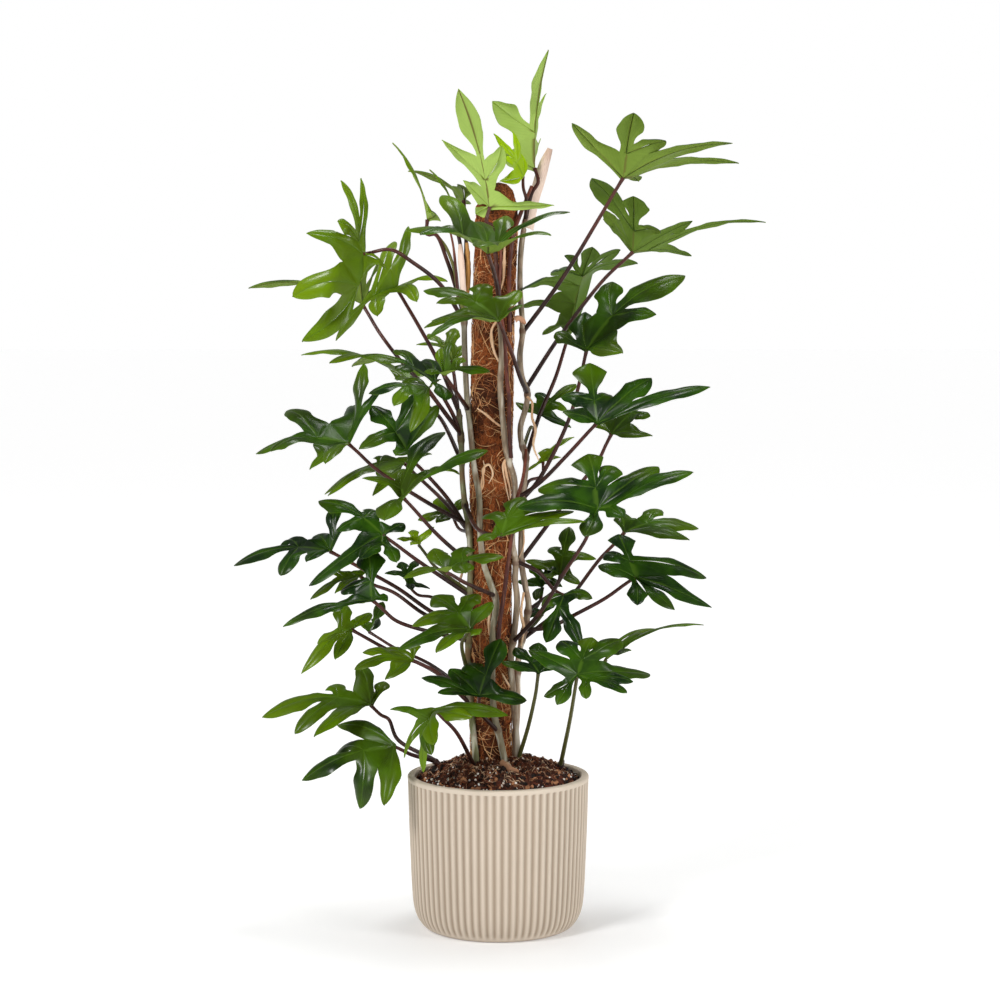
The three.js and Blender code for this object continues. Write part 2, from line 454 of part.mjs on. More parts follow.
function bladeGeometry(row, grow) {
  const size = row[7];
  const { middle, points, endLobe, up } = leafPlaces(row);
  const corners = [];
  const downs = [];
  const top = [];
  const edge = [];

  function corner(place, normal) {
    corners.push(place.clone().addScaledVector(normal, grow));
    downs.push(normal.clone().multiplyScalar(-BLADE.thickness - 2 * grow));
    return corners.length - 1;
  }

  function ribTo(root, tip) {
    const control = root.clone().add(tip).multiplyScalar(0.5);
    control.addScaledVector(up, BLADE.arch * root.distanceTo(tip));
    return new THREE.QuadraticBezierCurve3(root, control, tip);
  }

  const last = points.length - 1;
  const twoSided = endLobe > 0 && endLobe < last;
  const knee = twoSided ? ribTo(middle, points[endLobe]).getPoint(BLADE.endRoot) : middle;

  function basalRoot(from, to) {
    const away = vector(0, 0, 0);
    let reach = BLADE.baseRib * size;
    for (let i = from; i <= to; i += 1) {
      const toTip = points[i].clone().sub(middle);
      reach = Math.min(reach, 0.35 * toTip.clone().projectOnPlane(up).length());
      away.add(toTip.normalize());
    }
    return middle.clone().addScaledVector(away.normalize(), reach);
  }

  const firstBase = endLobe > 2 ? basalRoot(0, endLobe - 3) : middle;
  const lastBase = last - endLobe > 2 ? basalRoot(endLobe + 3, last) : middle;
  const centre = corner(middle, up);
  const kneeCorner = twoSided ? corner(knee, up) : centre;
  const firstCorner = endLobe > 2 ? corner(firstBase, up) : centre;
  const lastCorner = last - endLobe > 2 ? corner(lastBase, up) : centre;

  const lobes = points.map((tip, i) => {
    const steps = Math.abs(i - endLobe);
    let root = knee;
    let rootCorner = kneeCorner;
    if (steps === 2 || (steps === 1 && (i === 0 || i === last))) {
      root = middle;
      rootCorner = centre;
    }
    if (steps > 2) {
      root = i < endLobe ? firstBase : lastBase;
      rootCorner = i < endLobe ? firstCorner : lastCorner;
    }
    const half = LOBE_WIDTH[Math.min(steps, LOBE_WIDTH.length - 1)] * size;
    return { root, tip, rootCorner, half, full: steps < FULL_LOBES, rib: ribTo(root, tip) };
  });

  // Half width kept clear of the neighbouring lobe
  function room(place, half, other) {
    const gaps = [other.root, middle].map((start) => planDistance(place, start, other.tip, up));
    return Math.min(half, BLADE.share * Math.min(...gaps));
  }

  function notch(before, after) {
    const lengths = [before, after].map((lobe) => lobe.root.distanceTo(lobe.tip));
    const reach = BLADE.sinus * Math.min(...lengths) + 0.02 * size + grow;
    const place = before.rib.getPoint(reach / lengths[0]).add(after.rib.getPoint(reach / lengths[1]));
    return corner(place.multiplyScalar(0.5), up);
  }

  const toEnd = points[endLobe].clone().sub(middle).projectOnPlane(up).normalize();
  const ends = [points[0], points[last]].map((tip) => lobeTurn(toEnd, tip.clone().sub(middle), up));
  if (ends[0] > ends[1]) ends[0] -= 2 * Math.PI;
  const backward = toEnd.applyAxisAngle(up, (ends[0] + ends[1]) / 2 + Math.PI);
  const stalkNotch = corner(middle.clone().addScaledVector(backward, 0.03 * size + grow), up);
  const notches = [stalkNotch];
  for (let i = 0; i + 1 < lobes.length; i += 1) notches.push(notch(lobes[i], lobes[i + 1]));
  notches.push(stalkNotch);

  lobes.forEach((lobe, i) => {
    const shares = lobe.full ? [[0.38, 0.72], [0.68, 1]] : [[0.56, 1]];
    const right = [];
    const left = [];
    const spine = [];
    shares.forEach(([along, share]) => {
      const tangent = lobe.rib.getTangent(along);
      const across = up.clone().cross(tangent).normalize();
      const normal = tangent.clone().cross(across).normalize();
      const place = lobe.rib.getPoint(along);
      const rightHalf = room(place, lobe.half * share, lobes[(i + lobes.length - 1) % lobes.length]) + grow;
      const leftHalf = room(place, lobe.half * share, lobes[(i + 1) % lobes.length]) + grow;
      const sunk = place.clone().addScaledVector(normal, -BLADE.cup * lobe.half * share);
      spine.push(corner(place, normal));
      right.push(corner(sunk.clone().addScaledVector(across, -rightHalf), normal));
      left.push(corner(sunk.clone().addScaledVector(across, leftHalf), normal));
    });
    const tangent = lobe.rib.getTangent(1);
    const across = up.clone().cross(tangent).normalize();
    const tip = corner(lobe.tip.clone().addScaledVector(tangent, 2 * grow), tangent.clone().cross(across).normalize());
    const root = lobe.rootCorner;
    top.push([root, notches[i], right[0]], [root, right[0], spine[0]]);
    top.push([root, spine[0], left[0]], [root, left[0], notches[i + 1]]);
    for (let k = 0; k + 1 < spine.length; k += 1) {
      top.push([spine[k], right[k], right[k + 1]], [spine[k], right[k + 1], spine[k + 1]]);
      top.push([spine[k], spine[k + 1], left[k + 1]], [spine[k], left[k + 1], left[k]]);
    }
    const outer = spine.length - 1;
    top.push([spine[outer], right[outer], tip], [spine[outer], tip, left[outer]]);
    edge.push(notches[i], ...right, tip, ...left.reverse());
  });

  // The web between neighbouring ribs, and behind the joint
  const roots = [centre, ...lobes.map((lobe) => lobe.rootCorner), centre];
  roots.slice(0, -1).forEach((root, i) => {
    if (root !== roots[i + 1]) top.push([root, notches[i], roots[i + 1]]);
  });

  const count = corners.length;
  const place = [...corners, ...corners.map((at, i) => at.clone().add(downs[i]))].flatMap((at) => at.toArray());
  const faces = top.flatMap(([a, b, c]) => [a, b, c, count + c, count + b, count + a]);
  edge.forEach((from, i) => {
    const to = edge[(i + 1) % edge.length];
    faces.push(from, count + from, count + to, from, count + to, to);
  });
  const geometry = new THREE.BufferGeometry();
  geometry.setAttribute('position', new THREE.Float32BufferAttribute(place, 3));
  geometry.setIndex(faces);
  return geometry;
}

function bladeSolid(row, grow = 0) {
  return toSolid(bladeGeometry(row, grow));
}

// Stalk from the middle of its stem to the joint, where its end lies flat against the blade
function stalkSolid(row, grow = 0) {
  const [, stem, height, via, joint] = row;
  const start = stemPlace(stem, height);
  const { middle, up } = leafPlaces(row);
  const flat = [[start.x, start.z], ...via, [joint[0], joint[2]]];
  const depth = joint[1] * SPREAD.joints;
  const run = [0];
  for (let i = 1; i < flat.length; i += 1) {
    run.push(run[i - 1] + Math.hypot(flat[i][0] - flat[i - 1][0], flat[i][1] - flat[i - 1][1]));
  }
  const points = via.map(([x, z], i) => {
    const share = run[i + 1] / run[run.length - 1];
    return seen(x, z, start.y + (depth - start.y) * share);
  });
  points.unshift(start);

  const back = points[points.length - 1].clone().sub(middle).normalize();
  const side = back.dot(up) > STALK.fromAbove ? 1 : -1;
  const clear = 1.1 * FIT_GAP + (side < 0 ? BLADE.thickness : 0);
  const neck = middle.clone().addScaledVector(back, STALK.neck);
  const away = side * neck.clone().sub(middle).dot(up);
  if (away < STALK.drop) neck.addScaledVector(up, side * (STALK.drop - away));
  const end = middle.clone().addScaledVector(up, side * (clear + STALK.radius));
  points.push(neck, end);

  const steps = STALK.steps + 2 * via.length;
  const geometry = tube(points, STALK.footRadius + grow, STALK.radius + grow, STALK.sides, steps);
  let nearest = Infinity;
  reshape(geometry, (point) => {
    if (point.distanceTo(end) < 1.1 * STALK.radius) {
      nearest = Math.min(nearest, side * point.clone().sub(middle).dot(up));
    }
  });
  reshape(geometry, (point) => {
    if (point.distanceTo(end) < 1.1 * STALK.radius) point.addScaledVector(up, side * (clear - nearest));
  });
  return toSolid(geometry);
}

function stemTube(name, grow = 0) {
  const points = stemPoints(name);
  points[0].z -= grow;
  const steps = Math.max(4, Math.round((points[points.length - 1].z - points[0].z) / STEM.step));
  return toSolid(tube(points, STEM.radius + grow, STEM.endRadius + grow, STEM.sides, steps));
}

function rootSolids(name) {
  const flat = ROOTS.filter((root) => root[0] === name).map(([, radius, path]) => {
    const points = path.map(([x, z]) => seen(x, z, againstPole(x, z, radius, -1)));
    return toSolid(tube(points, radius, radius * 0.7, STALK.sides, path.length + 2));
  });
  const hanging = HANGING_ROOTS.filter((root) => root[0] === name).map(([, radius, path]) => {
    const points = path.map(([x, depth, z]) => seen(x, z, depth));
    return toSolid(tube(points, radius, radius * 0.7, STALK.sides, path.length + 2));
  });
  return [...flat, ...hanging];
}

function stemSolid(name) {
  const rows = LEAVES.filter((row) => row[1] === name);
  const bodies = [stemTube(name), ...rows.map((row) => stalkSolid(row)), ...rootSolids(name)];
  const whole = wasm.Manifold.union([...bodies, ...rows.filter(isSmall).map((row) => bladeSolid(row))]);
  const seats = rows.filter((row) => !isSmall(row)).map((row) => bladeSolid(row, FIT_GAP));
  return largestPiece(wasm.Manifold.difference([whole, ...seats]));
}

// The smallest blades are one with their stem
function isSmall(row) {
  return row[7] <= SMALL_BLADE;
}

// Thin leaf-like sheath, hollow towards the stem it grew round
function sheathSolid([, stem, half, path]) {
  const outer = [];
  const inner = [];
  for (let i = 0; i <= SHEATH.bends; i += 1) {
    const turn = -SHEATH.wrap / 2 + (SHEATH.wrap * i) / SHEATH.bends;
    outer.push(new THREE.Vector2(half * Math.sin(turn), half * (Math.cos(turn) - 0.6)));
    const within = half - SHEATH.thickness;
    inner.unshift(new THREE.Vector2(within * Math.sin(turn), half * (-0.6) + within * Math.cos(turn)));
  }
  const points = path.map(([x, depth, z]) => seen(x, z, depth));
  const strip = toSolid(sweep(points, [...outer, ...inner], path.length + 1, (share) => 1 - 0.55 * share ** 3));
  return largestPiece(strip.subtract(stemTube(stem, FIT_GAP)));
}

function lathe(profile, sides) {
  const geometry = new THREE.LatheGeometry(profile.map(([x, y]) => new THREE.Vector2(x, y)), sides);
  return geometry.rotateX(Math.PI / 2);
}

function reshape(geometry, move) {
  const place = geometry.attributes.position;
  const point = vector(0, 0, 0);
  for (let i = 0; i < place.count; i += 1) {
    point.fromBufferAttribute(place, i);
    move(point);
    place.setXYZ(i, point.x, point.y, point.z);
  }
  return geometry;
}

function potSolid() {
  const { rimRadius: rim, baseRadius: base, height, lipHeight, lipRound: round } = POT;
  const lipFoot = height - lipHeight;
  const body = lathe([
    [0, 0],
    [base, 0],
    [rim - 12.5, 18],
    [rim - 6, 60],
    [rim - 0.8, lipFoot - round],
    [rim, lipFoot],
    [rim - 1, height],
    [0, height],
  ], 2 * POT.ribCount);
  reshape(body, (point) => {
    const turn = Math.atan2(point.y, point.x) * POT.ribCount;
    const ribbed = point.z > 1 && point.z < lipFoot - 1;
    const radius = Math.hypot(point.x, point.y);
    const factor = ribbed ? 1 - (POT.ribDepth * (1 - Math.cos(turn))) / 2 / radius : 1;
    point.x *= factor;
    point.y *= factor;
  });
  const hollow = lathe([
    ...cavityProfile(0),
    [rim - POT.wall + round, height + 1],
    [0, height + 1],
  ], SOIL.sides);
  return toSolid(body).subtract(toSolid(hollow));
}

// Inside of the pot, from the middle of its floor to the bend below the rim
function cavityProfile(shrink) {
  const inside = POT.rimRadius - POT.wall;
  return [
    [0, POT.floor + shrink],
    [POT.baseRadius - POT.wall - shrink, POT.floor + shrink],
    [POT.baseRadius - shrink, POT.floor + 20],
    [inside - shrink, POT.height - 2.5],
  ];
}

function soilSolid() {
  const [middle, foot, bend, top] = cavityProfile(FIT_GAP);
  const share = (SOIL.edgeHeight - bend[1]) / (top[1] - bend[1]);
  const edge = bend[0] + (top[0] - bend[0]) * share;
  const rings = SOIL.rings.map((part) => [edge * part, SOIL.edgeHeight]);
  const body = lathe([middle, foot, bend, [edge, SOIL.edgeHeight], ...rings, [0, SOIL.edgeHeight]], SOIL.sides);
  reshape(body, (point) => {
    if (point.z > SOIL.edgeHeight - 1) point.z = soilHeight(point.x, point.y);
  });
  const holes = [
    toSolid(poleGeometry(FIT_GAP)),
    ...Object.keys(STEMS).map((name) => stemTube(name, FIT_GAP)),
    ...LEAVES.filter((row) => row[2] < SOIL.stalkReach).map((row) => stalkSolid(row, FIT_GAP)),
  ];
  return largestPiece(wasm.Manifold.difference([toSolid(body), ...holes]));
}

function poleGeometry(grow = 0) {
  const { radius, bottom, top, domeHeight, rows, domeRows } = POLE;
  const shoulder = top - domeHeight;
  const profile = [[0, bottom - grow], [radius + grow, bottom - grow]];
  for (let i = 1; i <= rows; i += 1) profile.push([radius + grow, bottom + ((shoulder - bottom) * i) / rows]);
  for (let i = 1; i < domeRows; i += 1) {
    const turn = (Math.PI * i) / (2 * domeRows);
    profile.push([(radius + grow) * Math.cos(turn), shoulder + domeHeight * Math.sin(turn)]);
  }
  profile.push([0, top]);
  return reshape(lathe(profile, POLE.sides), (point) => {
    const above = point.z > SOIL.edgeHeight + SOIL.moundHeight + 10;
    const turn = Math.atan2(point.y, point.x);
    const bumps = Math.sin(3 * turn + point.z * 0.021) * Math.cos(2 * turn - point.z * 0.013);
    const factor = above ? 1 + (POLE.bark * bumps) / POLE.radius : 1;
    point.x = point.x * factor + poleAxis(point.z);
    point.y *= factor;
  });
}

const group = new THREE.Group();

function addPart(name, solid, material) {
  const mesh = new THREE.Mesh(toGeometry(solid), material);
  mesh.name = name;
  group.add(mesh);
}

addPart('pot', potSolid(), MATERIAL.pot);
addPart('soil', soilSolid(), MATERIAL.soil);
addPart('pole', toSolid(poleGeometry()), MATERIAL.coir);
Object.keys(STEMS).forEach((name) => addPart(name, stemSolid(name), MATERIAL.stem));
SHEATHS.forEach((row) => addPart(row[0], sheathSolid(row), MATERIAL.sheath));
LEAVES.filter((row) => !isSmall(row)).forEach((row) => {
  addPart(row[0], bladeSolid(row), row[8] ? MATERIAL.young : MATERIAL.leaf);
});

export default group;
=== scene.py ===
# Potted climbing philodendron on a coir pole. Places are worked out in millimetres and stored in metres.
import math
from collections import namedtuple
import bpy
import numpy as np
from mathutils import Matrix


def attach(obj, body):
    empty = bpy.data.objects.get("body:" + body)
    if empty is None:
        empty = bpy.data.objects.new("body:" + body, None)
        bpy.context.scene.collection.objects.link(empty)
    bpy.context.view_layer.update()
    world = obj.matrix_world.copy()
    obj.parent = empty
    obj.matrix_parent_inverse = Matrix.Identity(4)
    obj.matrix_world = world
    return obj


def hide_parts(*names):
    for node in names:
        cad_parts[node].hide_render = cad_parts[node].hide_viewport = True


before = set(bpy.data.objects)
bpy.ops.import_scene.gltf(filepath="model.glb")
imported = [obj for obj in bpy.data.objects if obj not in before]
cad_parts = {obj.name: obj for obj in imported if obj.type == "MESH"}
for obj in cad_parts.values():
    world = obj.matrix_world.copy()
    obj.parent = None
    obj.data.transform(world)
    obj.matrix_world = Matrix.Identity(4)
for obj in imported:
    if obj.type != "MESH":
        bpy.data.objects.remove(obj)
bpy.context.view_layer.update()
print("frame loaded:", len(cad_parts), "nodes")

fullTurn = 2 * math.pi


# Shapes

def unit(v):   # each row made 1 long
    return v / np.maximum(np.linalg.norm(v, axis=-1, keepdims=True), 1e-9)


def ease(x):   # 0 to 1 with level ends: 3x^2 - 2x^3
    x = np.clip(x, 0, 1)
    return x * x * (3 - 2 * x)


def bell(x, middle, width):   # 1 at the middle, falling away as exp(-((x - middle) / width)^2)
    return np.exp(-((x - middle) / width) ** 2)


def ripple(place, size, seed):   # smooth bumps between about -1 and 1: a mean of 14 sines in scattered ways
    rng = np.random.default_rng(seed)
    ways = unit(rng.normal(size=(14, 3))) * rng.uniform(0.6, 1.5, (14, 1)) * fullTurn / size
    return np.sin(place @ ways.T + rng.uniform(0, fullTurn, 14)).sum(axis=-1) / 4.5


eye = {"x": 3, "distance": 3550, "z": 910}   # the point from which the places below were read


def seen(x, z, depth):   # the place at this depth on the line of sight through x and z
    scale = 1 + depth / eye["distance"]
    return np.array([eye["x"] + (x - eye["x"]) * scale, depth, eye["z"] + (z - eye["z"]) * scale])


def seenPath(points):   # points are (x, depth, z)
    return [seen(x, z, depth) for x, depth, z in points]


def smoothPath(points, count):   # centripetal Catmull-Rom curve through the points, in equal steps of length
    p = np.asarray(points, float)
    p = np.vstack([2 * p[0] - p[1], p, 2 * p[-1] - p[-2]])
    gap = np.sqrt(np.linalg.norm(np.diff(p, axis=0), axis=1))[:, None]
    before, own, after = gap[:-2], gap[1:-1], gap[2:]
    a, b, c, d = p[:-3], p[1:-2], p[2:-1], p[3:]
    first = own * ((b - a) / before - (c - a) / (before + own) + (c - b) / own)
    second = own * ((c - b) / own - (d - b) / (own + after) + (d - c) / after)
    t = np.linspace(0, 1, 40, endpoint=False)[:, None, None]
    dense = b * (2 * t**3 - 3 * t**2 + 1) + first * (t**3 - 2 * t**2 + t)
    dense = dense + c * (3 * t**2 - 2 * t**3) + second * (t**3 - t**2)
    dense = np.vstack([dense.transpose(1, 0, 2).reshape(-1, 3), p[-2]])
    run = np.append(0, np.linalg.norm(np.diff(dense, axis=0), axis=1).cumsum())
    at = np.linspace(0, run[-1], count)
    return np.column_stack([np.interp(at, run, dense[:, k]) for k in range(3)])


def gridFaces(rows, columns, wrap=False):   # two triangles for each cell of a grid of places
    i, j = np.meshgrid(np.arange(rows - 1), np.arange(columns if wrap else columns - 1), indexing="ij")
    a, b = (i * columns + j).ravel(), (i * columns + (j + 1) % columns).ravel()
    c, d = b + columns, a + columns
    return np.vstack([np.column_stack([a, b, c]), np.column_stack([a, c, d])])


def closedGrid(grid, low, high):   # a grid that runs round, its first and last rows closed round a point
    rows, columns = grid.shape[:2]
    count, last = rows * columns, (rows - 1) * columns
    k = np.arange(columns)
    after = (k + 1) % columns
    faces = [gridFaces(rows, columns, True), np.column_stack([np.full(columns, count), after, k]),
        np.column_stack([last + k, last + after, np.full(columns, count + 1)])]
    return np.vstack([grid.reshape(-1, 3), low, high]), np.vstack(faces)


def aroundAxis(radius, turn, z):   # radius * (cos turn, sin turn) at height z
    z = np.broadcast_to(z, radius.shape)
    return np.stack([radius * np.cos(turn), radius * np.sin(turn), z], axis=-1)


def closedTube(path, radius, sides):   # ring = path + radius (cos turn * side + sin turn * lift)
    way = unit(np.gradient(path, axis=0))
    flat = np.linalg.svd(path - path.mean(axis=0))[2][2]
    side = unit(np.cross(way, flat))
    lift = np.cross(side, way)
    turn = np.linspace(0, fullTurn, sides, endpoint=False)[None, :, None]
    ring = np.cos(turn) * side[:, None] + np.sin(turn) * lift[:, None]
    grid = path[:, None] + np.broadcast_to(radius, len(path))[:, None, None] * ring
    place, faces = closedGrid(grid, path[0], path[-1])
    along = np.append(np.repeat(np.linspace(0, 1, len(path)), sides), [0, 1])
    return place, faces[:, ::-1], along


def joined(parts):   # several (places, faces, values of each place) as one
    starts = np.append(0, np.cumsum([len(part[0]) for part in parts]))
    faces = [part[1] + start for part, start in zip(parts, starts)]
    values = [np.concatenate([part[k] for part in parts]) for k in range(2, len(parts[0]))]
    return [np.concatenate([part[0] for part in parts]), np.vstack(faces), *values]


def makePiece(name, place, faces, finishes, values=None, finishOf=None, sharp=60):
    # a mesh in metres, with a value for each place and a finish for each face
    mesh = bpy.data.meshes.new(name)
    mesh.from_pydata((place / 1000).tolist(), [], faces.tolist())
    for finish in finishes:
        mesh.materials.append(finish)
    if finishOf is not None:
        mesh.polygons.foreach_set("material_index", finishOf.astype(np.int32))
    for key, value in (values or {}).items():
        mesh.attributes.new(key, "FLOAT", "POINT").data.foreach_set("value", value.astype(np.float32))
    mesh.shade_smooth()
    if sharp:
        mesh.set_sharp_from_angle(angle=math.radians(sharp))
    mesh.update()
    piece = bpy.data.objects.new(name, mesh)
    bpy.context.scene.collection.objects.link(piece)
    return piece


def addPiece(node, slot, *shape, **more):   # a piece that stands for a node, whose part it hides; slot is not used
    piece = makePiece(*shape, **more)
    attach(piece, "root")
    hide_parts(node)


# Materials

def colourOf(colour):   # screen red, green and blue from 0 to 255 as the linear colour that a socket takes
    if isinstance(colour, Value):
        return colour
    part = np.array(colour) / 255
    return [*np.where(part <= 0.04045, part / 12.92, ((part + 0.055) / 1.055) ** 2.4).tolist(), 1]


class Value:   # one socket of a material, with the sums that may be written on it

    def __init__(self, paint, socket):
        self.paint, self.socket = paint, socket

    def sum(self, operation, *others):   # one Math node
        return self.paint.node("ShaderNodeMath", {"operation": operation}, dict(enumerate((self, *others))))

    def __add__(self, other):
        return self.sum("ADD", other)

    def __sub__(self, other):
        return self.sum("SUBTRACT", other)

    def __mul__(self, other):
        return self.sum("MULTIPLY", other)

    def __truediv__(self, other):
        return self.sum("DIVIDE", other)

    def __rsub__(self, other):
        return (self * -1).sum("ADD", other)

    __radd__, __rmul__ = __add__, __mul__


class Paint:   # a material whose nodes are made by one method

    def __init__(self, name, **fixed):
        self.material = bpy.data.materials.new(name)
        self.material.use_nodes = True
        self.tree = self.material.node_tree
        self.shader = self.tree.nodes["Principled BSDF"]
        for key, value in fixed.items():
            self.shader.inputs[key.replace("_", " ")].default_value = value
        self.place = self.node("ShaderNodeTexCoord", out="Object")

    def node(self, kind, settings=None, sockets=None, out=0):   # settings are set before the sockets
        node = self.tree.nodes.new(kind)
        for key, value in (settings or {}).items():
            if key == "stops":
                ramp = node.color_ramp.elements
                for k, (at, colour) in enumerate(value):
                    stop = ramp[k] if k < len(ramp) else ramp.new(at)
                    stop.position, stop.color = at, colour
            else:
                setattr(node, key, value)
        for key, value in (sockets or {}).items():
            if isinstance(value, Value):
                self.tree.links.new(value.socket, node.inputs[key])
            else:
                node.inputs[key].default_value = value
        return Value(self, node.outputs[out])

    def attribute(self, name):   # a value that the mesh carries at each place
        return self.node("ShaderNodeAttribute", {"attribute_name": name}, out="Fac")

    def noise(self, size, detail=2, rough=0.5, stretch=(1, 1, 1), warp=0):   # size of the spots in metres
        scale = [share / size for share in stretch]
        scaled = self.node("ShaderNodeMapping", None, {"Vector": self.place, "Scale": scale})
        return self.node("ShaderNodeTexNoise", None,
            {"Vector": scaled, "Scale": 1, "Detail": detail, "Roughness": rough, "Distortion": warp})

    def between(self, value, low, high, first=0, last=1):   # value from low to high as first to last, eased
        return self.node("ShaderNodeMapRange", {"interpolation_type": "SMOOTHSTEP"},
            {"Value": value, "From Min": low, "From Max": high, "To Min": first, "To Max": last})

    def mix(self, factor, first, second):   # first + factor (second - first), for colours
        return self.node("ShaderNodeMix", {"data_type": "RGBA"},
            {0: factor, 6: colourOf(first), 7: colourOf(second)}, 2)

    def bump(self, height, distance, strength):   # height 1 stands this distance out, in metres
        return self.node("ShaderNodeBump", None,
            {"Height": height, "Distance": distance, "Strength": strength})

    def finish(self, **sockets):   # the finish, with these values linked to the shader
        for key, value in sockets.items():
            self.tree.links.new(value.socket, self.shader.inputs[key.replace("_", " ")])
        return self.material


def fibrePaint(name, dark, mid, pale):   # each fibre or crumb has its own tone
    paint = Paint(name, Specular_IOR_Level=0.35)
    stops = [(0.0, colourOf(dark)), (0.5, colourOf(mid)), (1.0, colourOf(pale))]
    base = paint.node("ShaderNodeValToRGB", {"stops": stops}, {"Fac": paint.attribute("tone")})
    grain = paint.noise(0.002)
    return paint.finish(Base_Color=paint.mix(grain * 0.3, base, dark), Roughness=0.65 + grain * 0.2)


print("tools ready")


# Pot: a profile carried round the axis, with flutes pressed into the wall

pot = {
    "rimRadius": 135, "height": 228, "baseRadius": 108, "lipHeight": 6, "wall": 11, "floor": 12,
    "holeRadius": 40, "lipRound": 2.8, "innerRound": 2.4,
    "flutes": 72, "fluteDepth": 1.9, "crest": 0.85, "columnsPerFlute": 10,
    "foot": [[104, 0], [107, 0.35], [108.6, 1.4]], "wallFoot": 3,
    "rowsOnWall": 40, "rowPower": 1.35, "rowsUnderLip": 9, "underLip": (0.97, 0.975),   # shares of the wall
    "wallPoints": [[108, 0], [113.5, 4.5], [118.5, 11], [122.8, 19], [126.5, 33], [129, 60], [131.2, 110],
        [133.1, 160], [134.3, 205], [134.8, 221]],
}


def potPaint():   # clay with pale grains, darker at the foot, and painted shade in the flutes' valleys
    paint = Paint("pot_clay", Specular_IOR_Level=0.35)
    cloud, grain = paint.noise(0.06, 3), paint.noise(0.0016, 3, 0.6)
    foot = paint.between(paint.node("ShaderNodeSeparateXYZ", None, {0: paint.place}, 2), 0.006, 0.0)
    base = paint.mix(cloud * 0.5, (210, 196, 179), (198, 183, 165))
    # painted shade: the flutes' valleys are mixed towards a darker clay colour by how deep they are
    base = paint.mix(paint.attribute("valley") * 0.8, base, (142, 123, 103))
    base = paint.mix(paint.between(grain, 0.6, 0.8) * 0.2, base, (214, 204, 188))
    base = paint.mix(foot * 0.4, base, (150, 134, 116))
    return paint.finish(Base_Color=base, Roughness=0.62 + grain * 0.2,
        Normal=paint.bump(grain + cloud * 0.4, 0.0005, 0.5))


def quarterRound(x, z, radius, firstTurn):   # a quarter circle round (x, z), from firstTurn anticlockwise
    turn = firstTurn + np.linspace(0, math.pi / 2, 6)[1:]
    return np.column_stack([x + radius * np.cos(turn), z + radius * np.sin(turn)])


def makePot():   # the profile turned: radius(turn, z) = profile(z) - depth * onWall(z) * (1 - crest(turn))
    rim, height, inside = pot["rimRadius"], pot["height"], pot["rimRadius"] - pot["wall"]
    lipFoot = height - pot["lipHeight"]
    lastShare, nextShare = pot["underLip"]
    rise = lastShare * np.linspace(0, 1, pot["rowsOnWall"]) ** pot["rowPower"]
    rise = np.append(rise, np.linspace(nextShare, 1, pot["rowsUnderLip"]))
    wallZ = pot["wallFoot"] + (lipFoot - pot["wallFoot"]) * rise
    curve = smoothPath([[x, 0, z] for x, z in pot["wallPoints"]], 300)
    wallR = np.interp(wallZ, curve[:, 2], curve[:, 0])
    outer, inner = pot["lipRound"], pot["innerRound"]
    profile = np.vstack([pot["foot"], np.column_stack([wallR, wallZ]),
        [pot["wallPoints"][-1][0], lipFoot + 0.4], [rim, lipFoot + 1.2], [rim, height - 3.2],
        quarterRound(rim - outer, height - outer, outer, 0), [rim - 5.5, height], [inside + inner, height],
        quarterRound(inside + inner, height - inner, inner, math.pi / 2),
        [inside - 0.2, height - 8], [inside - 1.6, 190], [inside - 6, 100], [pot["baseRadius"], 34],
        [pot["baseRadius"] - pot["wall"], pot["floor"]], [pot["holeRadius"], pot["floor"]]])
    onWall = np.zeros(len(profile))
    first = len(pot["foot"])
    onWall[first:first + len(wallZ)] = ease((wallZ - 2) / 10) * ease((lipFoot - wallZ) / 2.2)
    turn = np.linspace(0, fullTurn, pot["flutes"] * pot["columnsPerFlute"], endpoint=False)
    crest = (0.5 + 0.5 * np.cos(turn * pot["flutes"])) ** pot["crest"]
    dip = onWall[:, None] * (1 - crest)
    grid = aroundAxis(profile[:, :1] - pot["fluteDepth"] * dip, turn, profile[:, 1:])
    # the flutes' dip is also kept on each place, for the painted shade in the valleys
    addPiece("pot", "pot", "pot_body", *closedGrid(grid, [0, 0, 0], [0, 0, pot["floor"]]), [potPaint()],
        {"valley": np.append(dip.ravel(), [0, 0])}, sharp=0)


# Soil: a lumpy mound with crumbs, perlite and straws on it

soil = {
    "edgeHeight": 219, "moundHeight": 34, "crumb": 2.2, "lump": 3.2, "edgeSink": 2.5, "gap": 0.8,
    "lumps": [(0.55, 34, 21), (0.6, 15, 22), (0.35, 6, 23)],   # share, size and seed
    "bottom": 150, "bottomShare": 0.97, "rings": 80, "ringPower": 0.8, "sides": 220,
}
straw = {
    "count": 1100, "seed": 33, "reach": 0.8, "lift": (0.6, 3.0), "bend": 1.2, "lengths": (6, 22),
    "radii": (0.3, 0.75), "tonePower": 1.4, "colours": ((40, 14, 4), (138, 70, 34), (250, 214, 176)),
}
soilRadius = pot["rimRadius"] - pot["wall"] - soil["gap"]
# name, count, seed, sizes, lift, stretch, share of the radius, power of the tone, sharp angle, colours
crumbKinds = [
    ("chips", 2000, 31, (0.8, 4.0), 0.1, (0.3, 1.5), 0.97, 1.7, 30,
        ((12, 3, 0), (72, 31, 12), (212, 148, 104))),
    ("perlite", 300, 32, (0.9, 2.1), 0.9, (0.7, 1.2), 0.95, 1, 0,
        ((206, 190, 174), (240, 232, 222), (255, 253, 250))),
]


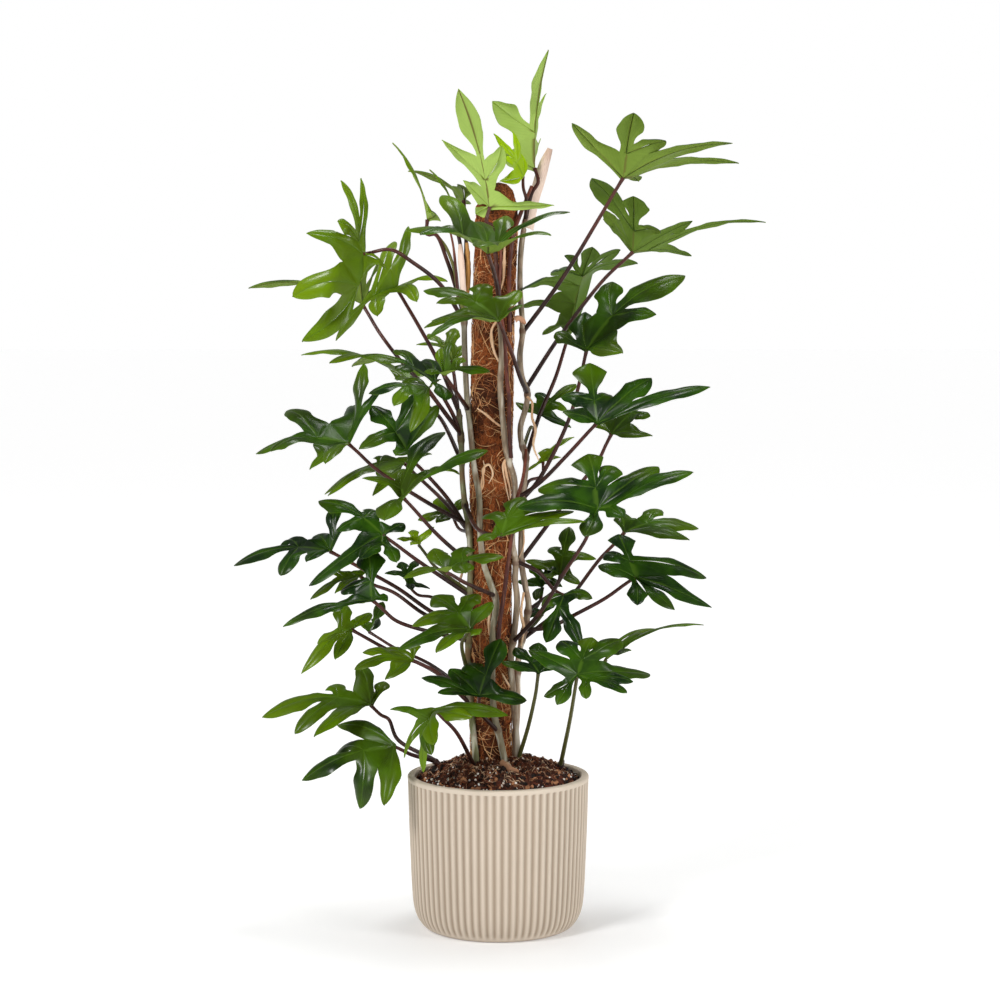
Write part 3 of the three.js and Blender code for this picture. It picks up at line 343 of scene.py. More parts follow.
def soilHeight(x, y):   # a mound that falls as the radius squared, with lumps that end at the wall
    out = np.hypot(x, y) / (pot["rimRadius"] - pot["wall"])
    crumbs = np.sin(x * 0.13 + 1) * np.cos(y * 0.11) + np.sin(x * 0.05 - y * 0.07)
    base = soil["edgeHeight"] + soil["moundHeight"] * (1 - out**2)
    base = base + soil["crumb"] * crumbs * (1 - out**6) / 2
    at = np.stack([x, y, 0 * x], axis=-1)
    lumps = sum(share * ripple(at, size, seed) for share, size, seed in soil["lumps"])
    return base + soil["lump"] * lumps * (1 - out**8) - soil["edgeSink"] * ease((out - 0.93) / 0.07)


def soilPaint():   # dark mix with redder crumbs and pale grit
    paint = Paint("soil_mix", Specular_IOR_Level=0.35)
    cloud, crumb, grit = paint.noise(0.03, 3, 0.6), paint.noise(0.006, 4, 0.7), paint.noise(0.0022, 3, 0.7)
    base = paint.mix(paint.between(crumb, 0.35, 0.65), (18, 6, 2), (100, 44, 20))
    base = paint.mix(paint.between(cloud, 0.4, 0.7) * 0.5, base, (112, 58, 38))
    base = paint.mix(paint.between(grit, 0.62, 0.74) * 0.6, base, (158, 92, 56))
    return paint.finish(Base_Color=base, Roughness=0.6 + crumb * 0.35,
        Normal=paint.bump(crumb + grit * 0.5, 0.004, 0.9))


def scattered(count, seed, sizes, lift, stretch, reach):
    # a rough twelve-cornered lump, stretched, turned and laid on the soil at each scattered place
    rng = np.random.default_rng(seed)
    gold = (1 + 5**0.5) / 2
    ball = unit(np.array([[-1, gold, 0], [1, gold, 0], [-1, -gold, 0], [1, -gold, 0],
        [0, -1, gold], [0, 1, gold], [0, -1, -gold], [0, 1, -gold],
        [gold, 0, -1], [gold, 0, 1], [-gold, 0, -1], [-gold, 0, 1]]))
    skin = np.array([[0, 11, 5], [0, 5, 1], [0, 1, 7], [0, 7, 10], [0, 10, 11], [1, 5, 9], [5, 11, 4],
        [11, 10, 2], [10, 7, 6], [7, 1, 8], [3, 9, 4], [3, 4, 2], [3, 2, 6], [3, 6, 8], [3, 8, 9], [4, 9, 5],
        [2, 4, 11], [6, 2, 10], [8, 6, 7], [9, 8, 1]])
    size = rng.uniform(*sizes, (count, 1)) * rng.uniform(*stretch, (count, 3))
    shape = ball[None] * size[:, None] * rng.uniform(0.75, 1.2, (count, 12, 1))
    turned = np.linalg.qr(rng.normal(size=(count, 3, 3)))[0]
    turned *= np.sign(np.linalg.det(turned))[:, None, None]
    r, a = soilRadius * reach * np.sqrt(rng.random(count)), rng.uniform(0, fullTurn, count)
    x, y = r * np.cos(a), r * np.sin(a)
    centre = np.stack([x, y, soilHeight(x, y) + lift * size.mean(axis=1)], axis=-1)
    faces = skin[None] + 12 * np.arange(count)[:, None, None]
    tone = np.repeat(rng.random(count), 12)
    return (shape @ turned + centre[:, None]).reshape(-1, 3), faces.reshape(-1, 3), tone


def strands(start, heading, bend, length, thick, tone, placeAt, steps=9):
    # a strand is a three-sided thread along s: heading turns by bend * s; placeAt gives place and way out
    s = np.linspace(0, 1, steps)
    way = heading[:, None] + bend[:, None] * (s - 0.5)
    step = length[:, None] / (steps - 1)
    a = start[0][:, None] + np.cumsum(np.cos(way) * step, axis=1)
    b = start[1][:, None] + np.cumsum(np.sin(way) * step, axis=1)
    middle, out = placeAt(a, b, np.sin(math.pi * s)[None])
    along = unit(np.gradient(middle, axis=1))
    side = unit(np.cross(along, out))
    corner = np.array([0.5, 1.1667, 1.8333]) * math.pi
    ring = np.cos(corner)[:, None] * side[:, :, None] + np.sin(corner)[:, None] * out[:, :, None]
    place = middle[:, :, None] + thick[:, None, None, None] * (1 - 0.75 * s[None, :, None, None] ** 3) * ring
    last = 3 * steps - 1
    one = np.vstack([gridFaces(steps, 3, True), [[0, 2, 1]], [[last - 2, last - 1, last]]])
    faces = one[None] + 3 * steps * np.arange(len(length))[:, None, None]
    return place.reshape(-1, 3), faces.reshape(-1, 3), np.repeat(tone, 3 * steps)


def onSoil(a, b, rise):   # a and b are x and y
    low, high = straw["lift"]
    return (np.stack([a, b, soilHeight(a, b) + low + high * rise], axis=-1),
        np.broadcast_to([0.0, 0.0, 1.0], (*a.shape, 3)))


def makeSoil():   # rings whose radius is a power of their share, a plain underside, crumbs and straws
    turn = np.linspace(0, fullTurn, soil["sides"], endpoint=False)
    rings = soilRadius * np.linspace(0, 1, soil["rings"] + 1)[1:, None] ** soil["ringPower"]
    x, y = rings * np.cos(turn), rings * np.sin(turn)
    upper = np.stack([x, y, soilHeight(x, y)], axis=-1)
    lower = upper[-1:] * [soil["bottomShare"], soil["bottomShare"], 0] + [0, 0, soil["bottom"]]
    top = [0, 0, soilHeight(np.zeros(1), np.zeros(1))[0]]
    place, faces = closedGrid(np.concatenate([upper, lower]), top, [0, 0, soil["bottom"]])
    addPiece("soil", "soil", "soil_bed", place, faces[:, ::-1], [soilPaint()], sharp=0)
    for name, count, seed, sizes, lift, stretch, reach, power, sharp, colours in crumbKinds:
        place, faces, tone = scattered(count, seed, sizes, lift, stretch, reach)
        finish = fibrePaint("soil_" + name, *colours)
        addPiece("soil", "soil", "soil_" + name, place, faces, [finish], {"tone": tone**power}, sharp=sharp)
    count = straw["count"]
    rng = np.random.default_rng(straw["seed"])
    r, a = straw["reach"] * soilRadius * np.sqrt(rng.random(count)), rng.uniform(0, fullTurn, count)
    place, faces, tone = strands((r * np.cos(a), r * np.sin(a)), rng.uniform(0, fullTurn, count),
        rng.normal(0, straw["bend"], count), rng.uniform(*straw["lengths"], count),
        rng.uniform(*straw["radii"], count), rng.random(count) ** straw["tonePower"], onSoil)
    finish = fibrePaint("soil_straw", *straw["colours"])
    addPiece("soil", "soil", "soil_strands", place, faces, [finish], {"tone": tone}, sharp=0)


# Coir pole: a rough column with a domed top, wound with loose fibres

pole = {
    "x": -11, "radius": 30, "bark": 0.8, "top": 1104, "bottom": 20, "domeHeight": 46, "lean": 12,
    "rows": 400, "sides": 120,
    "roughness": [(1.0, 26, 1, 11), (1.0, 10, 0.7, 12), (0.6, 4.8, 1, 13)],   # height, size, flat, seed
}
fibre = {
    "count": 3000, "seed": 7, "radius": 0.42, "lift": (0.9, 1.5), "lowest": 236, "starts": (240, 1050),
    "bend": 1.3, "lengths": (14, 52), "colours": ((86, 34, 8), (188, 104, 48), (248, 198, 140)),
}


def coirPaint():   # tangled brown threads, with pale threads on them and dark patches of painted shade
    paint = Paint("coir", Specular_IOR_Level=0.25)
    cloud = paint.noise(0.05, 3, 0.6)
    tangle = paint.noise(0.007, 4, 0.7, (1, 1, 0.6), 2.5)
    thread = paint.noise(0.0022, 3, 0.7, (1, 1, 0.35), 3)
    base = paint.mix(paint.between(tangle, 0.35, 0.65), (56, 19, 2), (176, 93, 42))
    base = paint.mix(paint.between(thread, 0.55, 0.75) * 0.8, base, (220, 152, 94))
    # painted shade: large dark patches, as if cast by the stems
    base = paint.mix(paint.between(cloud, 0.46, 0.62) * 0.85, base, (38, 13, 2))
    base = paint.mix(paint.between(cloud, 0.42, 0.3) * 0.35, base, (196, 112, 62))
    return paint.finish(Base_Color=base, Roughness=0.8 + thread * 0.18,
        Normal=paint.bump(tangle + thread * 0.7, 0.003, 0.9))


def poleAxis(z):   # x of the pole's middle, which leans as the height to the sixth power
    return pole["x"] + pole["lean"] * (np.asarray(z, float) / pole["top"]) ** 6


def poleRadius(turn, z):   # the radius with shallow bumps, closing at the top as a quarter of an ellipse
    bumps = np.sin(3 * turn + z * 0.021) * np.cos(2 * turn - z * 0.013)
    over = np.clip((z - pole["top"] + pole["domeHeight"]) / pole["domeHeight"], 0, 1)
    return (pole["radius"] + pole["bark"] * bumps) * np.sqrt(1 - over**2)


def aroundPole(radius, turn, z):   # the same round the leaning axis
    return aroundAxis(radius, turn, z) + np.stack([poleAxis(z), 0 * z, 0 * z], axis=-1)


def makePole():   # radius(turn, z) with three ripples pushed out, and threads that lie on it
    turn, z = np.meshgrid(np.linspace(0, fullTurn, pole["sides"], endpoint=False),
        np.linspace(pole["bottom"], pole["top"], pole["rows"]))
    radius = poleRadius(turn, z)
    grid = aroundPole(radius, turn, z)
    rough = sum(high * ripple(grid * [1, 1, flat], size, seed)
        for high, size, flat, seed in pole["roughness"])
    grid = grid + aroundAxis(rough * np.minimum(1, radius / 8), turn, 0 * z)
    addPiece("pole", "coir", "pole_coir", *closedGrid(grid, grid[0].mean(axis=0), grid[-1].mean(axis=0)),
        [coirPaint()], sharp=0)

    count = fibre["count"]
    rng = np.random.default_rng(fibre["seed"])
    stray, bright = rng.random(count) ** 2, rng.random(count)

    def onPole(a, b, rise):   # a is the run round the pole and b the height
        b = np.clip(b, fibre["lowest"], pole["top"] - pole["domeHeight"] - 2)
        low, high = fibre["lift"]
        turn = a / pole["radius"]
        return (aroundPole(poleRadius(turn, b) + low + high * rise * stray[:, None], turn, b),
            aroundAxis(np.ones_like(turn), turn, 0 * b))

    place, faces, tone = strands(
        (rng.uniform(0, fullTurn * pole["radius"], count), rng.uniform(*fibre["starts"], count)),
        rng.uniform(0, fullTurn, count), rng.normal(0, fibre["bend"], count),
        rng.uniform(*fibre["lengths"], count), (0.6 + 1.3 * bright**4) * fibre["radius"], bright, onPole)
    finish = fibrePaint("coir_fibre", *fibre["colours"])
    addPiece("pole", "coir", "pole_fibres", place, faces, [finish], {"tone": tone}, sharp=0)


# Leaves: name, stem and the height at which its stalk leaves it, places on the stalk, joint (x, depth, z),
# lobe tips in order round the blade (x, depth from the joint, z), number of the end lobe, size, tone (from
# below 0, deeper green with painted shade, up to 1 for lime) and share of the usual width of its lobes

Leaf = namedtuple("Leaf", "name stem height via joint tips end size tone width")
leaves = [Leaf(*row) for row in [
    ("a1", "left", 900, [[-85, 955], [-125, 987], [-158, 1006]], [-198, -60, 999], [[-166, 25, 976],
        [-202, 15, 1109], [-230, 0, 1107], [-236, -10, 1046], [-281, -30, 1030], [-302, -50, 936],
        [-289, -45, 872]], 6, 150, 0.3, 0.68),
    ("a2", "back", 735, [[-104, 800], [-145, 845], [-175, 885]], [-200, 60, 927], [[-158, 40, 962],
        [-170, 20, 990], [-208, -25, 992], [-242, -60, 947], [-367, -20, 950], [-290, 60, 935],
        [-215, 90, 940]], 4, 150, 0.05, 0.8),
    ("a3", "back", 765, [[-90, 845], [-115, 891]], [-150, 10, 951], [[-75, -20, 958], [-132, 50, 1040],
        [-152, 30, 1016], [-239, -40, 873], [-177, -60, 908], [-120, -70, 930]], 3, 130, 0.3, 0.7),
    ("a4", "left", 905, [[-62, 950], [-75, 990], [-92, 1028]], [-103, 0, 1050], [[-93, -32, 1056],
        [-154, 0, 1162], [-96, 32, 1060]], 1, 130, 0.35, 1),
    ("a5", "left", 950, [[-52, 985], [-58, 1025]], [-63, 20, 1058], [[-58, -26, 1064], [-100, 0, 1123],
        [-60, 26, 1066]], 1, 90, 0.3, 1),
    ("a6", "left", 935, [[-47, 1025]], [-50, 40, 1078], [[-62, 45, 1068], [-132, 0, 1121],
        [-60, -40, 1100]], 1, 100, 0.15, 1),
    ("e4", "front", 925, [[-3, 960]], [-15, -140, 1001], [[12, 60, 1053], [105, 20, 1061], [77, -50, 1025],
        [-30, -85, 1010], [-114, -60, 1026], [-136, 10, 1034], [-82, 70, 1083], [-36, 80, 1046]], 5, 140,
        0.06, 1),
    ("n1", "front", 1000, [[-8, 1040]], [-12, -45, 1068], [[82, -30, 1071], [4, -30, 1157],
        [-58, -40, 1240], [-83, -30, 1164], [-51, -10, 1107], [-33, 10, 1057]], 2, 160, 0.9, 0.8),
    ("n2", "right", 1050, [[49, 1088]], [53, 10, 1124], [[4, -20, 1152], [-8, -10, 1221], [73, 0, 1296],
        [72, 90, 1232], [62, 90, 1168]], 2, 165, 0.78, 0.62),
    ("n3", "right", 1050, [[41, 1080]], [37, -25, 1112], [[2, -20, 1106], [6, -30, 1140], [-6, -20, 1175],
        [20, 5, 1178], [30, 15, 1150]], 2, 75, 0.95, 0.9),
    ("f1", "right", 793, [[35, 812], [18, 860]], [0, -110, 903], [[36, -30, 922], [31, 35, 947],
        [-22, 50, 954], [-110, 40, 946], [-90, 0, 926], [-98, -30, 902], [-108, -50, 890],
        [-104, -75, 875]], 3, 130, 0.12, 0.95),
    ("b4", "left", 775, [], [-79, -95, 822], [[-12, -40, 827], [-53, 20, 847], [-70, 45, 871],
        [-84, 35, 861], [-108, 0, 826]], 0, 80, 0.1, 1),
    ("b2", "back", 733, [[-65, 760]], [-93, -40, 811], [[-78, -30, 785], [-104, 50, 846], [-150, 40, 857],
        [-205, 0, 851], [-150, -30, 828]], 3, 120, 0, 1),
    ("b6", "back", 727, [[-64, 815]], [-68, 60, 842], [[-52, 30, 866], [-64, 50, 890], [-102, 40, 883],
        [-120, 0, 866], [-80, -20, 868]], 2, 80, 0.3, 1),
    ("b3", "back", 735, [[-80, 768]], [-104, -70, 803], [[-88, -20, 812], [-140, 20, 812], [-191, -10, 795],
        [-153, -40, 776], [-130, -45, 738]], 2, 110, 0.05, 1),
    ("b1", "back", 695, [[-85, 758], [-111, 784]], [-128, 90, 812], [[-110, 60, 828], [-215, 60, 833],
        [-290, 20, 852], [-248, -30, 838], [-150, -40, 815]], 2, 140, 0.2, 1),
    ("b5", "back", 600, [[-115, 640], [-180, 683]], [-222, 20, 722], [[-175, 60, 803], [-197, 40, 838],
        [-216, 50, 776], [-310, 60, 768], [-358, 10, 706], [-335, -50, 708], [-279, -75, 683],
        [-255, -90, 690]], 4, 150, 0.02, 0.85),
    ("b7", "back", 590, [[-75, 640], [-115, 685]], [-136, 22, 712], [[-89, -10, 778], [-114, 30, 797],
        [-187, 20, 777], [-205, -30, 712], [-152, -50, 704]], 2, 110, -0.05, 1.12),
    ("c7", "back", 590, [[-75, 630]], [-138, 60, 692], [[-100, 40, 706], [-170, 40, 700], [-257, 20, 646],
        [-251, -30, 643], [-186, -50, 644]], 2, 110, 0.2, 1),
    ("c2b", "back", 545, [[-90, 586]], [-140, -60, 641], [[-15, -30, 711], [-60, 30, 676], [-78, 50, 736],
        [-96, 50, 682], [-140, 50, 684], [-200, 10, 668], [-168, -40, 606]], 0, 150, 0.12, 1.15),
    ("c10", "back", 590, [], [-68, 22, 616], [[-50, 20, 640], [-88, 20, 640], [-119, -10, 608],
        [-92, -30, 603]], 2, 70, 0.15, 1.2),
    ("c11", "back", 455, [[-96, 492]], [-135, 25, 513], [[-101, -15, 506], [-116, 30, 548], [-144, 35, 546],
        [-168, 5, 528], [-129, -35, 504]], 2, 60, -0.15, 1),
    ("c1", "back", 440, [[-105, 475], [-150, 507], [-210, 540]], [-250, 0, 562], [[-221, 20, 607],
        [-243, 35, 624], [-271, 45, 585], [-315, 40, 572], [-392, 0, 540], [-321, -45, 524],
        [-285, -60, 546]], 4, 150, -0.1, 0.85),
    ("c2", "back", 495, [[-120, 548]], [-171, -30, 586], [[-139, 10, 603], [-178, 50, 618], [-266, 30, 636],
        [-238, 0, 590], [-281, -50, 510], [-205, -60, 548], [-151, -40, 545]], 2, 140, -0.08, 0.95),
    ("c3", "back", 430, [[-150, 457]], [-187, -60, 489], [[-164, 0, 494], [-192, 45, 564], [-232, 25, 502],
        [-255, 0, 476], [-319, -20, 448]], 1, 100, -0.1, 1.3),
    ("c4", "back", 440, [[-110, 468], [-155, 500]], [-204, 50, 524], [[-190, 40, 540], [-262, 20, 530],
        [-279, -10, 490], [-242, -35, 498]], 2, 90, 0.3, 1),
    ("c5", "back", 345, [[-100, 385], [-165, 415]], [-218, -20, 445], [[-190, 30, 470], [-232, 30, 482],
        [-269, -10, 424], [-292, -40, 378], [-243, -50, 400]], 2, 100, 0.22, 1),
    ("c6", "back", 350, [[-100, 392], [-155, 418]], [-192, 50, 441], [[-178, 20, 462], [-170, 10, 486],
        [-203, 10, 462]], 1, 60, 0.1, 1),
    ("c8", "back", 500, [[-95, 540]], [-118, -10, 572], [[-95, 10, 598], [-128, 30, 592], [-150, 0, 580],
        [-130, -30, 570]], 2, 60, 0.7, 1),
    ("c9", "left", 500, [[-50, 515]], [-77, -110, 531], [[8, -20, 553], [-48, 30, 566], [-95, 40, 566],
        [-141, 0, 521], [-48, -40, 528]], 0, 110, 0.1, 1.1),
    ("m1", "back", 630, [[-30, 594]], [5, -110, 586], [[128, -10, 604], [112, 30, 621], [66, 40, 628],
        [38, 60, 642], [-18, 50, 612], [-32, -20, 576]], 3, 130, 0.12, 0.9),
    ("m2", "back", 380, [[-54, 424]], [-42, -80, 446], [[-28, -30, 438], [-9, 0, 486], [-30, 40, 496],
        [-97, 45, 495], [-127, 10, 449], [-150, -30, 414], [-92, -55, 409]], 3, 120, 0.08, 1.15),
    ("m3", "left", 300, [[-30, 325]], [-28, -58, 346], [[42, -20, 337], [4, 20, 431], [-45, 40, 392],
        [-72, 30, 386], [-114, -10, 371], [-90, -40, 350]], 1, 110, -0.08, 1.1),
    ("d4", "back", 335, [[-95, 383]], [-128, -50, 399], [[-126, 20, 424], [-178, 20, 414], [-201, 0, 409],
        [-214, -20, 385], [-168, -40, 369]], 3, 100, 0.25, 1),
    ("d3", "back", 240, [[-62, 290]], [-94, -76, 324], [[-161, 0, 325], [-139, -45, 252], [-112, -60, 230],
        [-99, -50, 256], [-95, -35, 272], [-38, -20, 312], [15, -15, 316]], 6, 120, 0.18, 0.85),
    ("d1", "low_left", 249, [[-150, 280], [-163, 310]], [-190, 30, 332], [[-170, 40, 365], [-208, 40, 394],
        [-248, 30, 359], [-352, 0, 313], [-302, -30, 287], [-275, -45, 284]], 3, 150, 0.14, 0.82),
    ("d2", "low_left", 247, [[-130, 257]], [-156, -25, 270], [[-240, 50, 301], [-242, 20, 253],
        [-293, -10, 218], [-205, -45, 175], [-171, -55, 180]], 2, 150, 0.1, 0.85),
    ("g1", "right", 887, [[95, 965], [150, 1055]], [183, -20, 1111], [[108, -25, 1188], [198, -45, 1205],
        [245, -15, 1162], [343, -10, 1161], [352, 20, 1130], [206, 50, 1106]], 1, 160, -0.08, 0.8),
    ("g2", "right", 800, [[88, 875], [155, 962]], [198, 20, 1003], [[153, 30, 1049], [154, 0, 1064],
        [137, -25, 1108], [198, -45, 1084], [237, -30, 1031], [285, 10, 1048], [392, 20, 1044],
        [284, 50, 997]], 3, 160, -0.4, 0.75),
    ("h1", "right", 700, [[60, 760], [85, 820]], [104, 60, 882], [[66, 30, 880], [32, -40, 922],
        [33, -50, 943], [88, -30, 975], [98, -10, 996], [138, 0, 1010], [180, 20, 1004], [205, 40, 986]], 5,
        150, -0.55, 0.95),
    ("h2", "right", 636, [[59, 666], [104, 756], [124, 830]], [130, -30, 860], [[184, -50, 855],
        [232, 10, 909], [275, 30, 968], [168, 40, 957], [128, 50, 915], [85, 10, 883]], 2, 160, 0.02, 1),
    ("h3", "front", 637, [[60, 662], [100, 702]], [146, -70, 752], [[95, -30, 768], [93, 10, 788],
        [135, 40, 840], [163, 40, 791], [226, 30, 818], [312, 0, 803]], 2, 140, 0, 1),
    ("h4", "right", 545, [[101, 637], [118, 657], [150, 700]], [167, 20, 736], [[150, 30, 758],
        [190, 40, 772], [272, 30, 797], [224, 0, 760], [228, -30, 733]], 2, 110, 0.06, 1),
    ("i1", "front", 428, [[62, 470], [95, 525], [130, 580]], [147, -100, 625], [[28, -10, 627],
        [60, 30, 652], [133, 40, 706], [169, 35, 686], [237, 20, 687], [288, 0, 677], [187, -45, 612],
        [128, -50, 582]], 2, 150, -0.08, 1.15),
    ("i2", "right", 428, [[95, 478], [150, 549]], [187, 40, 590], [[187, 30, 618], [241, 30, 621],
        [297, 0, 595], [283, -30, 577]], 2, 120, 0.04, 1),
    ("j1", "right", 440, [[75, 448], [120, 470], [160, 492]], [203, -10, 523], [[148, 0, 540],
        [160, 25, 557], [178, 40, 587], [308, 10, 520], [317, -10, 478], [261, -40, 473], [206, -50, 480]],
        2, 130, -0.12, 1.1),
    ("k1", "front", 545, [[60, 530]], [97, -5, 496], [[65, 0, 479], [140, 0, 491], [122, -30, 420],
        [71, -30, 425]], 3, 80, -0.05, 1.15),
    ("k2", "right", 470, [[60, 485]], [92, 60, 528], [[40, 20, 548], [78, 40, 566], [105, 30, 598],
        [145, 0, 549], [122, -30, 512], [62, -30, 520]], 2, 75, 0.1, 1.15),
    ("k3", "right", 455, [], [66, 50, 508], [[30, 10, 518], [48, 30, 540], [80, 30, 545], [95, -10, 508],
        [56, -30, 488]], 2, 60, 0, 1.2),
    ("k4", "right", 440, [], [66, 20, 468], [[41, -15, 461], [40, 20, 477], [84, 20, 482]], 1, 55, -0.1, 1),
    ("l0", "front", 250, [[45, 300], [56, 350]], [60, -50, 380], [[5, -20, 395], [25, 20, 418],
        [60, 40, 424], [86, 30, 400]], 1, 80, -0.1, 1.2),
    ("l1", "low_right", 240, [[107, 310]], [118, -100, 378], [[69, -20, 343], [87, -40, 332], [45, 0, 414],
        [93, 40, 426], [140, 40, 433], [182, 30, 428], [226, 20, 378], [200, 0, 365], [192, -30, 350],
        [131, -60, 340]], 4, 130, 0.02, 1),
    ("l2", "right", 380, [[110, 392]], [160, 60, 400], [[235, 30, 444], [305, 0, 452], [198, -20, 412]], 1,
        120, 0.12, 1),
    ("r1", "right", 715, [[48, 745]], [60, 50, 764], [[26, 10, 782], [56, 20, 795], [115, 30, 809],
        [101, 0, 770], [108, -30, 745]], 2, 70, 0.05, 1),
    ("r2", "right", 640, [[45, 665]], [66, 60, 694], [[38, 10, 677], [60, 30, 706], [112, 20, 731],
        [93, -10, 700]], 2, 60, 0.6, 1),
]]
smallest = 60   # leaves up to this size stand for a part of their stem
youngLeaves = {"n1", "n2", "n3", "c8", "r2"}
spears = {"a4", "a5", "a6"}   # leaves whose end lobe is broadest near the joint
ribBends = {"a1": 3}   # how far the end lobe bends to one side, in shares of the usual
# Where the lobes start: the share of the end lobe's rib up to the knee, for each number of steps from the
# end lobe the sixth of that share where a side lobe starts (further ones start from a rib of their own), and
# the share of the shorter lobe up to which two lobes are one
usualRoots = (0.3, (6, 6, 0), 0.27)
lobeRoots = {
    "h1": (0.6, (6, 6, 6, 5, 3, 1), 0.27), "n1": (0.42, (6, 3, 0, 0), 0.12), "n2": (0.3, (6, 6, 0, 0), 0.16),
}
lobeSides = {   # share of the usual width on the two sides of a lobe, by leaf and place in its row
    ("n1", 0): (0.5, 0.5), ("n1", 1): (0.7, 0.7), ("n1", 3): (0.65, 0.65), ("n1", 5): (1.3, 1.3),
    ("n2", 2): (1.5, 0.2), ("n2", 1): (1.3, 1.1), ("a1", 5): (1.5, 1.5), ("a1", 0): (0.6, 0.6),
    ("a1", 3): (1.4, 1.4), ("g2", 2): (1.3, 1.3), ("g2", 3): (1.3, 1.3), ("g2", 6): (0.6, 0.6),
    ("g1", 0): (0.75, 0.75), ("g1", 3): (0.8, 0.8), ("g1", 4): (0.8, 0.8), ("h2", 2): (1.25, 1.25),
    ("h3", 2): (1.35, 1.35), ("h3", 4): (1.2, 1.2), ("d1", 3): (1.2, 1.2), ("i1", 2): (1.3, 1.3),
    ("l2", 1): (0.45, 0.45), ("j1", 2): (1.25, 1.25),
}
spread = {"joints": 1.5, "apart": 0.42, "behind": 0.7, "reach": 0.5, "step": 3, "push": 0.3, "rounds": 60}
blade = {
    "arch": 0.15, "droop": 0.11, "sweep": 0.07, "sickle": 0.1,   # of the ribs, as shares of their length
    "level": 0.8, "cup": 0.2, "bulge": 0.1, "groove": 0.45, "stack": 0.016,   # of the lobes' faces
    "wave": 0.009, "waves": ((1, 60), (0.35, 27)),   # height of the wavy margin, and its two wavelengths
    "widths": [0.155, 0.142, 0.128, 0.108, 0.088, 0.072], "leastWidth": 0.86, "share": 0.66,
    "shoulders": [0, 0, 0.08, 0.16], "endForm": (1.15, 0.8), "rises": (0.95, 1.3), "falls": (0.6, 0.9),
    "youngForm": (1.0, 1.0), "spearForm": (0.5, 1.1),
    "baseRib": 0.13, "baseShare": 0.35, "fused": 0.16, "stalkNotch": 0.03, "notchShares": (0.04, 0.4),
    "rootRows": 5, "rows": 18, "rowPower": 1.25, "spinePoints": 6,
    "across": [0, 0.07, 0.22, 0.42, 0.64, 0.84, 1],
    "thickness": 0.75, "rim": 0.4, "midrib": 0.9, "sideRib": 0.04, "youngRib": 0.1,
    "lobeTone": 0.14, "tipTone": 0.1,
}
leafColours = {
    "dark": (9, 32, 5), "mid": (44, 79, 4), "lime": (143, 177, 0), "rim": (98, 134, 10), "shade": (7, 26, 8),
    "vein": (84, 116, 30), "under": (112, 134, 48), "underLime": (172, 200, 100), "underVein": (92, 44, 32),
    "dust": (30, 60, 20),
}


def leafPaint(name, upper):   # green by tone, with painted shade where the tone is below 0, veins as stripes of the way to the vein and a paler rim
    paint = Paint(name, Specular_IOR_Level=0.12, Coat_Roughness=0.22)
    tone, vein, edge = paint.attribute("tone"), paint.attribute("vein"), paint.attribute("edge")
    # lime is how far the tone lies above 0; deep, how far it lies below 0, paints shade
    lime, deep = tone.sum("MAXIMUM", 0), (tone * -1).sum("MAXIMUM", 0)
    cloud, fine = paint.noise(0.045, 3, 0.55), paint.noise(0.004, 2, 0.6)
    # lateral veins: thin lines where the way to the vein comes round to a whole number of spacings
    spacing = (vein / 0.0085 + cloud * 0.5).sum("FRACT")
    line = paint.between((spacing - 0.5).sum("ABSOLUTE"), 0.40, 0.5) * (1 - edge * 0.6)
    if upper:
        base = paint.mix(paint.between(cloud, 0.35, 0.7), leafColours["dark"], leafColours["mid"])
        base = paint.mix(lime, base, leafColours["lime"])
        # painted shade: a tone below 0 darkens the upper face towards the shade colour, at most a fifth of
        # the way
        base = paint.mix(deep.sum("MINIMUM", 0.2), base, leafColours["shade"])
        base = paint.mix(line * 0.16, base, leafColours["vein"])
        base = paint.mix(paint.between(edge, 0.10, 0.02) * 0.5, base, leafColours["vein"])
        base = paint.mix(paint.between(edge, 0.955, 1) * 0.5, base, leafColours["rim"])
        rough = 0.27 + cloud * 0.12
        coat = paint.between(cloud, 0.35, 0.65, 0.26, 0.06)
    else:
        base = paint.mix(lime, leafColours["under"], leafColours["underLime"])
        # painted shade: a tone below 0 darkens the lower face towards mid green
        base = paint.mix(deep, base, leafColours["mid"])
        base = paint.mix(line * 0.16, base, leafColours["dark"])
        rib = paint.between(edge / (0.08 + tone * 0.05), 1, 0.15)
        base = paint.mix(rib * (0.5 + tone * 0.35), base, leafColours["underVein"])
        base = paint.mix(cloud * 0.3, base, leafColours["mid"])
        rough = 0.46 + cloud * 0.15
        coat = paint.between(cloud, 0.2, 0.8, 0.08, 0.0)
    return paint.finish(Base_Color=paint.mix(fine * 0.1, base, leafColours["dust"]), Roughness=rough,
        Coat_Weight=coat, Normal=paint.bump((1 - line) * 0.6 + cloud * 0.5, 0.0004, 0.5))


def level(v, up):   # the part of v that lies across up
    return v - np.multiply.outer(v @ up, up)


def lobeTurn(toEnd, toTip, up):   # angle from the end lobe, anticlockwise seen from above the blade
    return math.atan2(np.cross(toEnd, level(toTip, up)) @ up, toEnd @ level(toTip, up))


def placeOf(tip):   # a tip is x, depth, z and its number
    return seen(tip[0], tip[2], tip[1])


def upOf(middle, tips):   # the mean of the cross products of neighbouring ways to the tips
    ways = unit(np.array([placeOf(tip) for tip in tips]) - middle)
    return unit(np.cross(ways[:-1], ways[1:]).sum(axis=0))


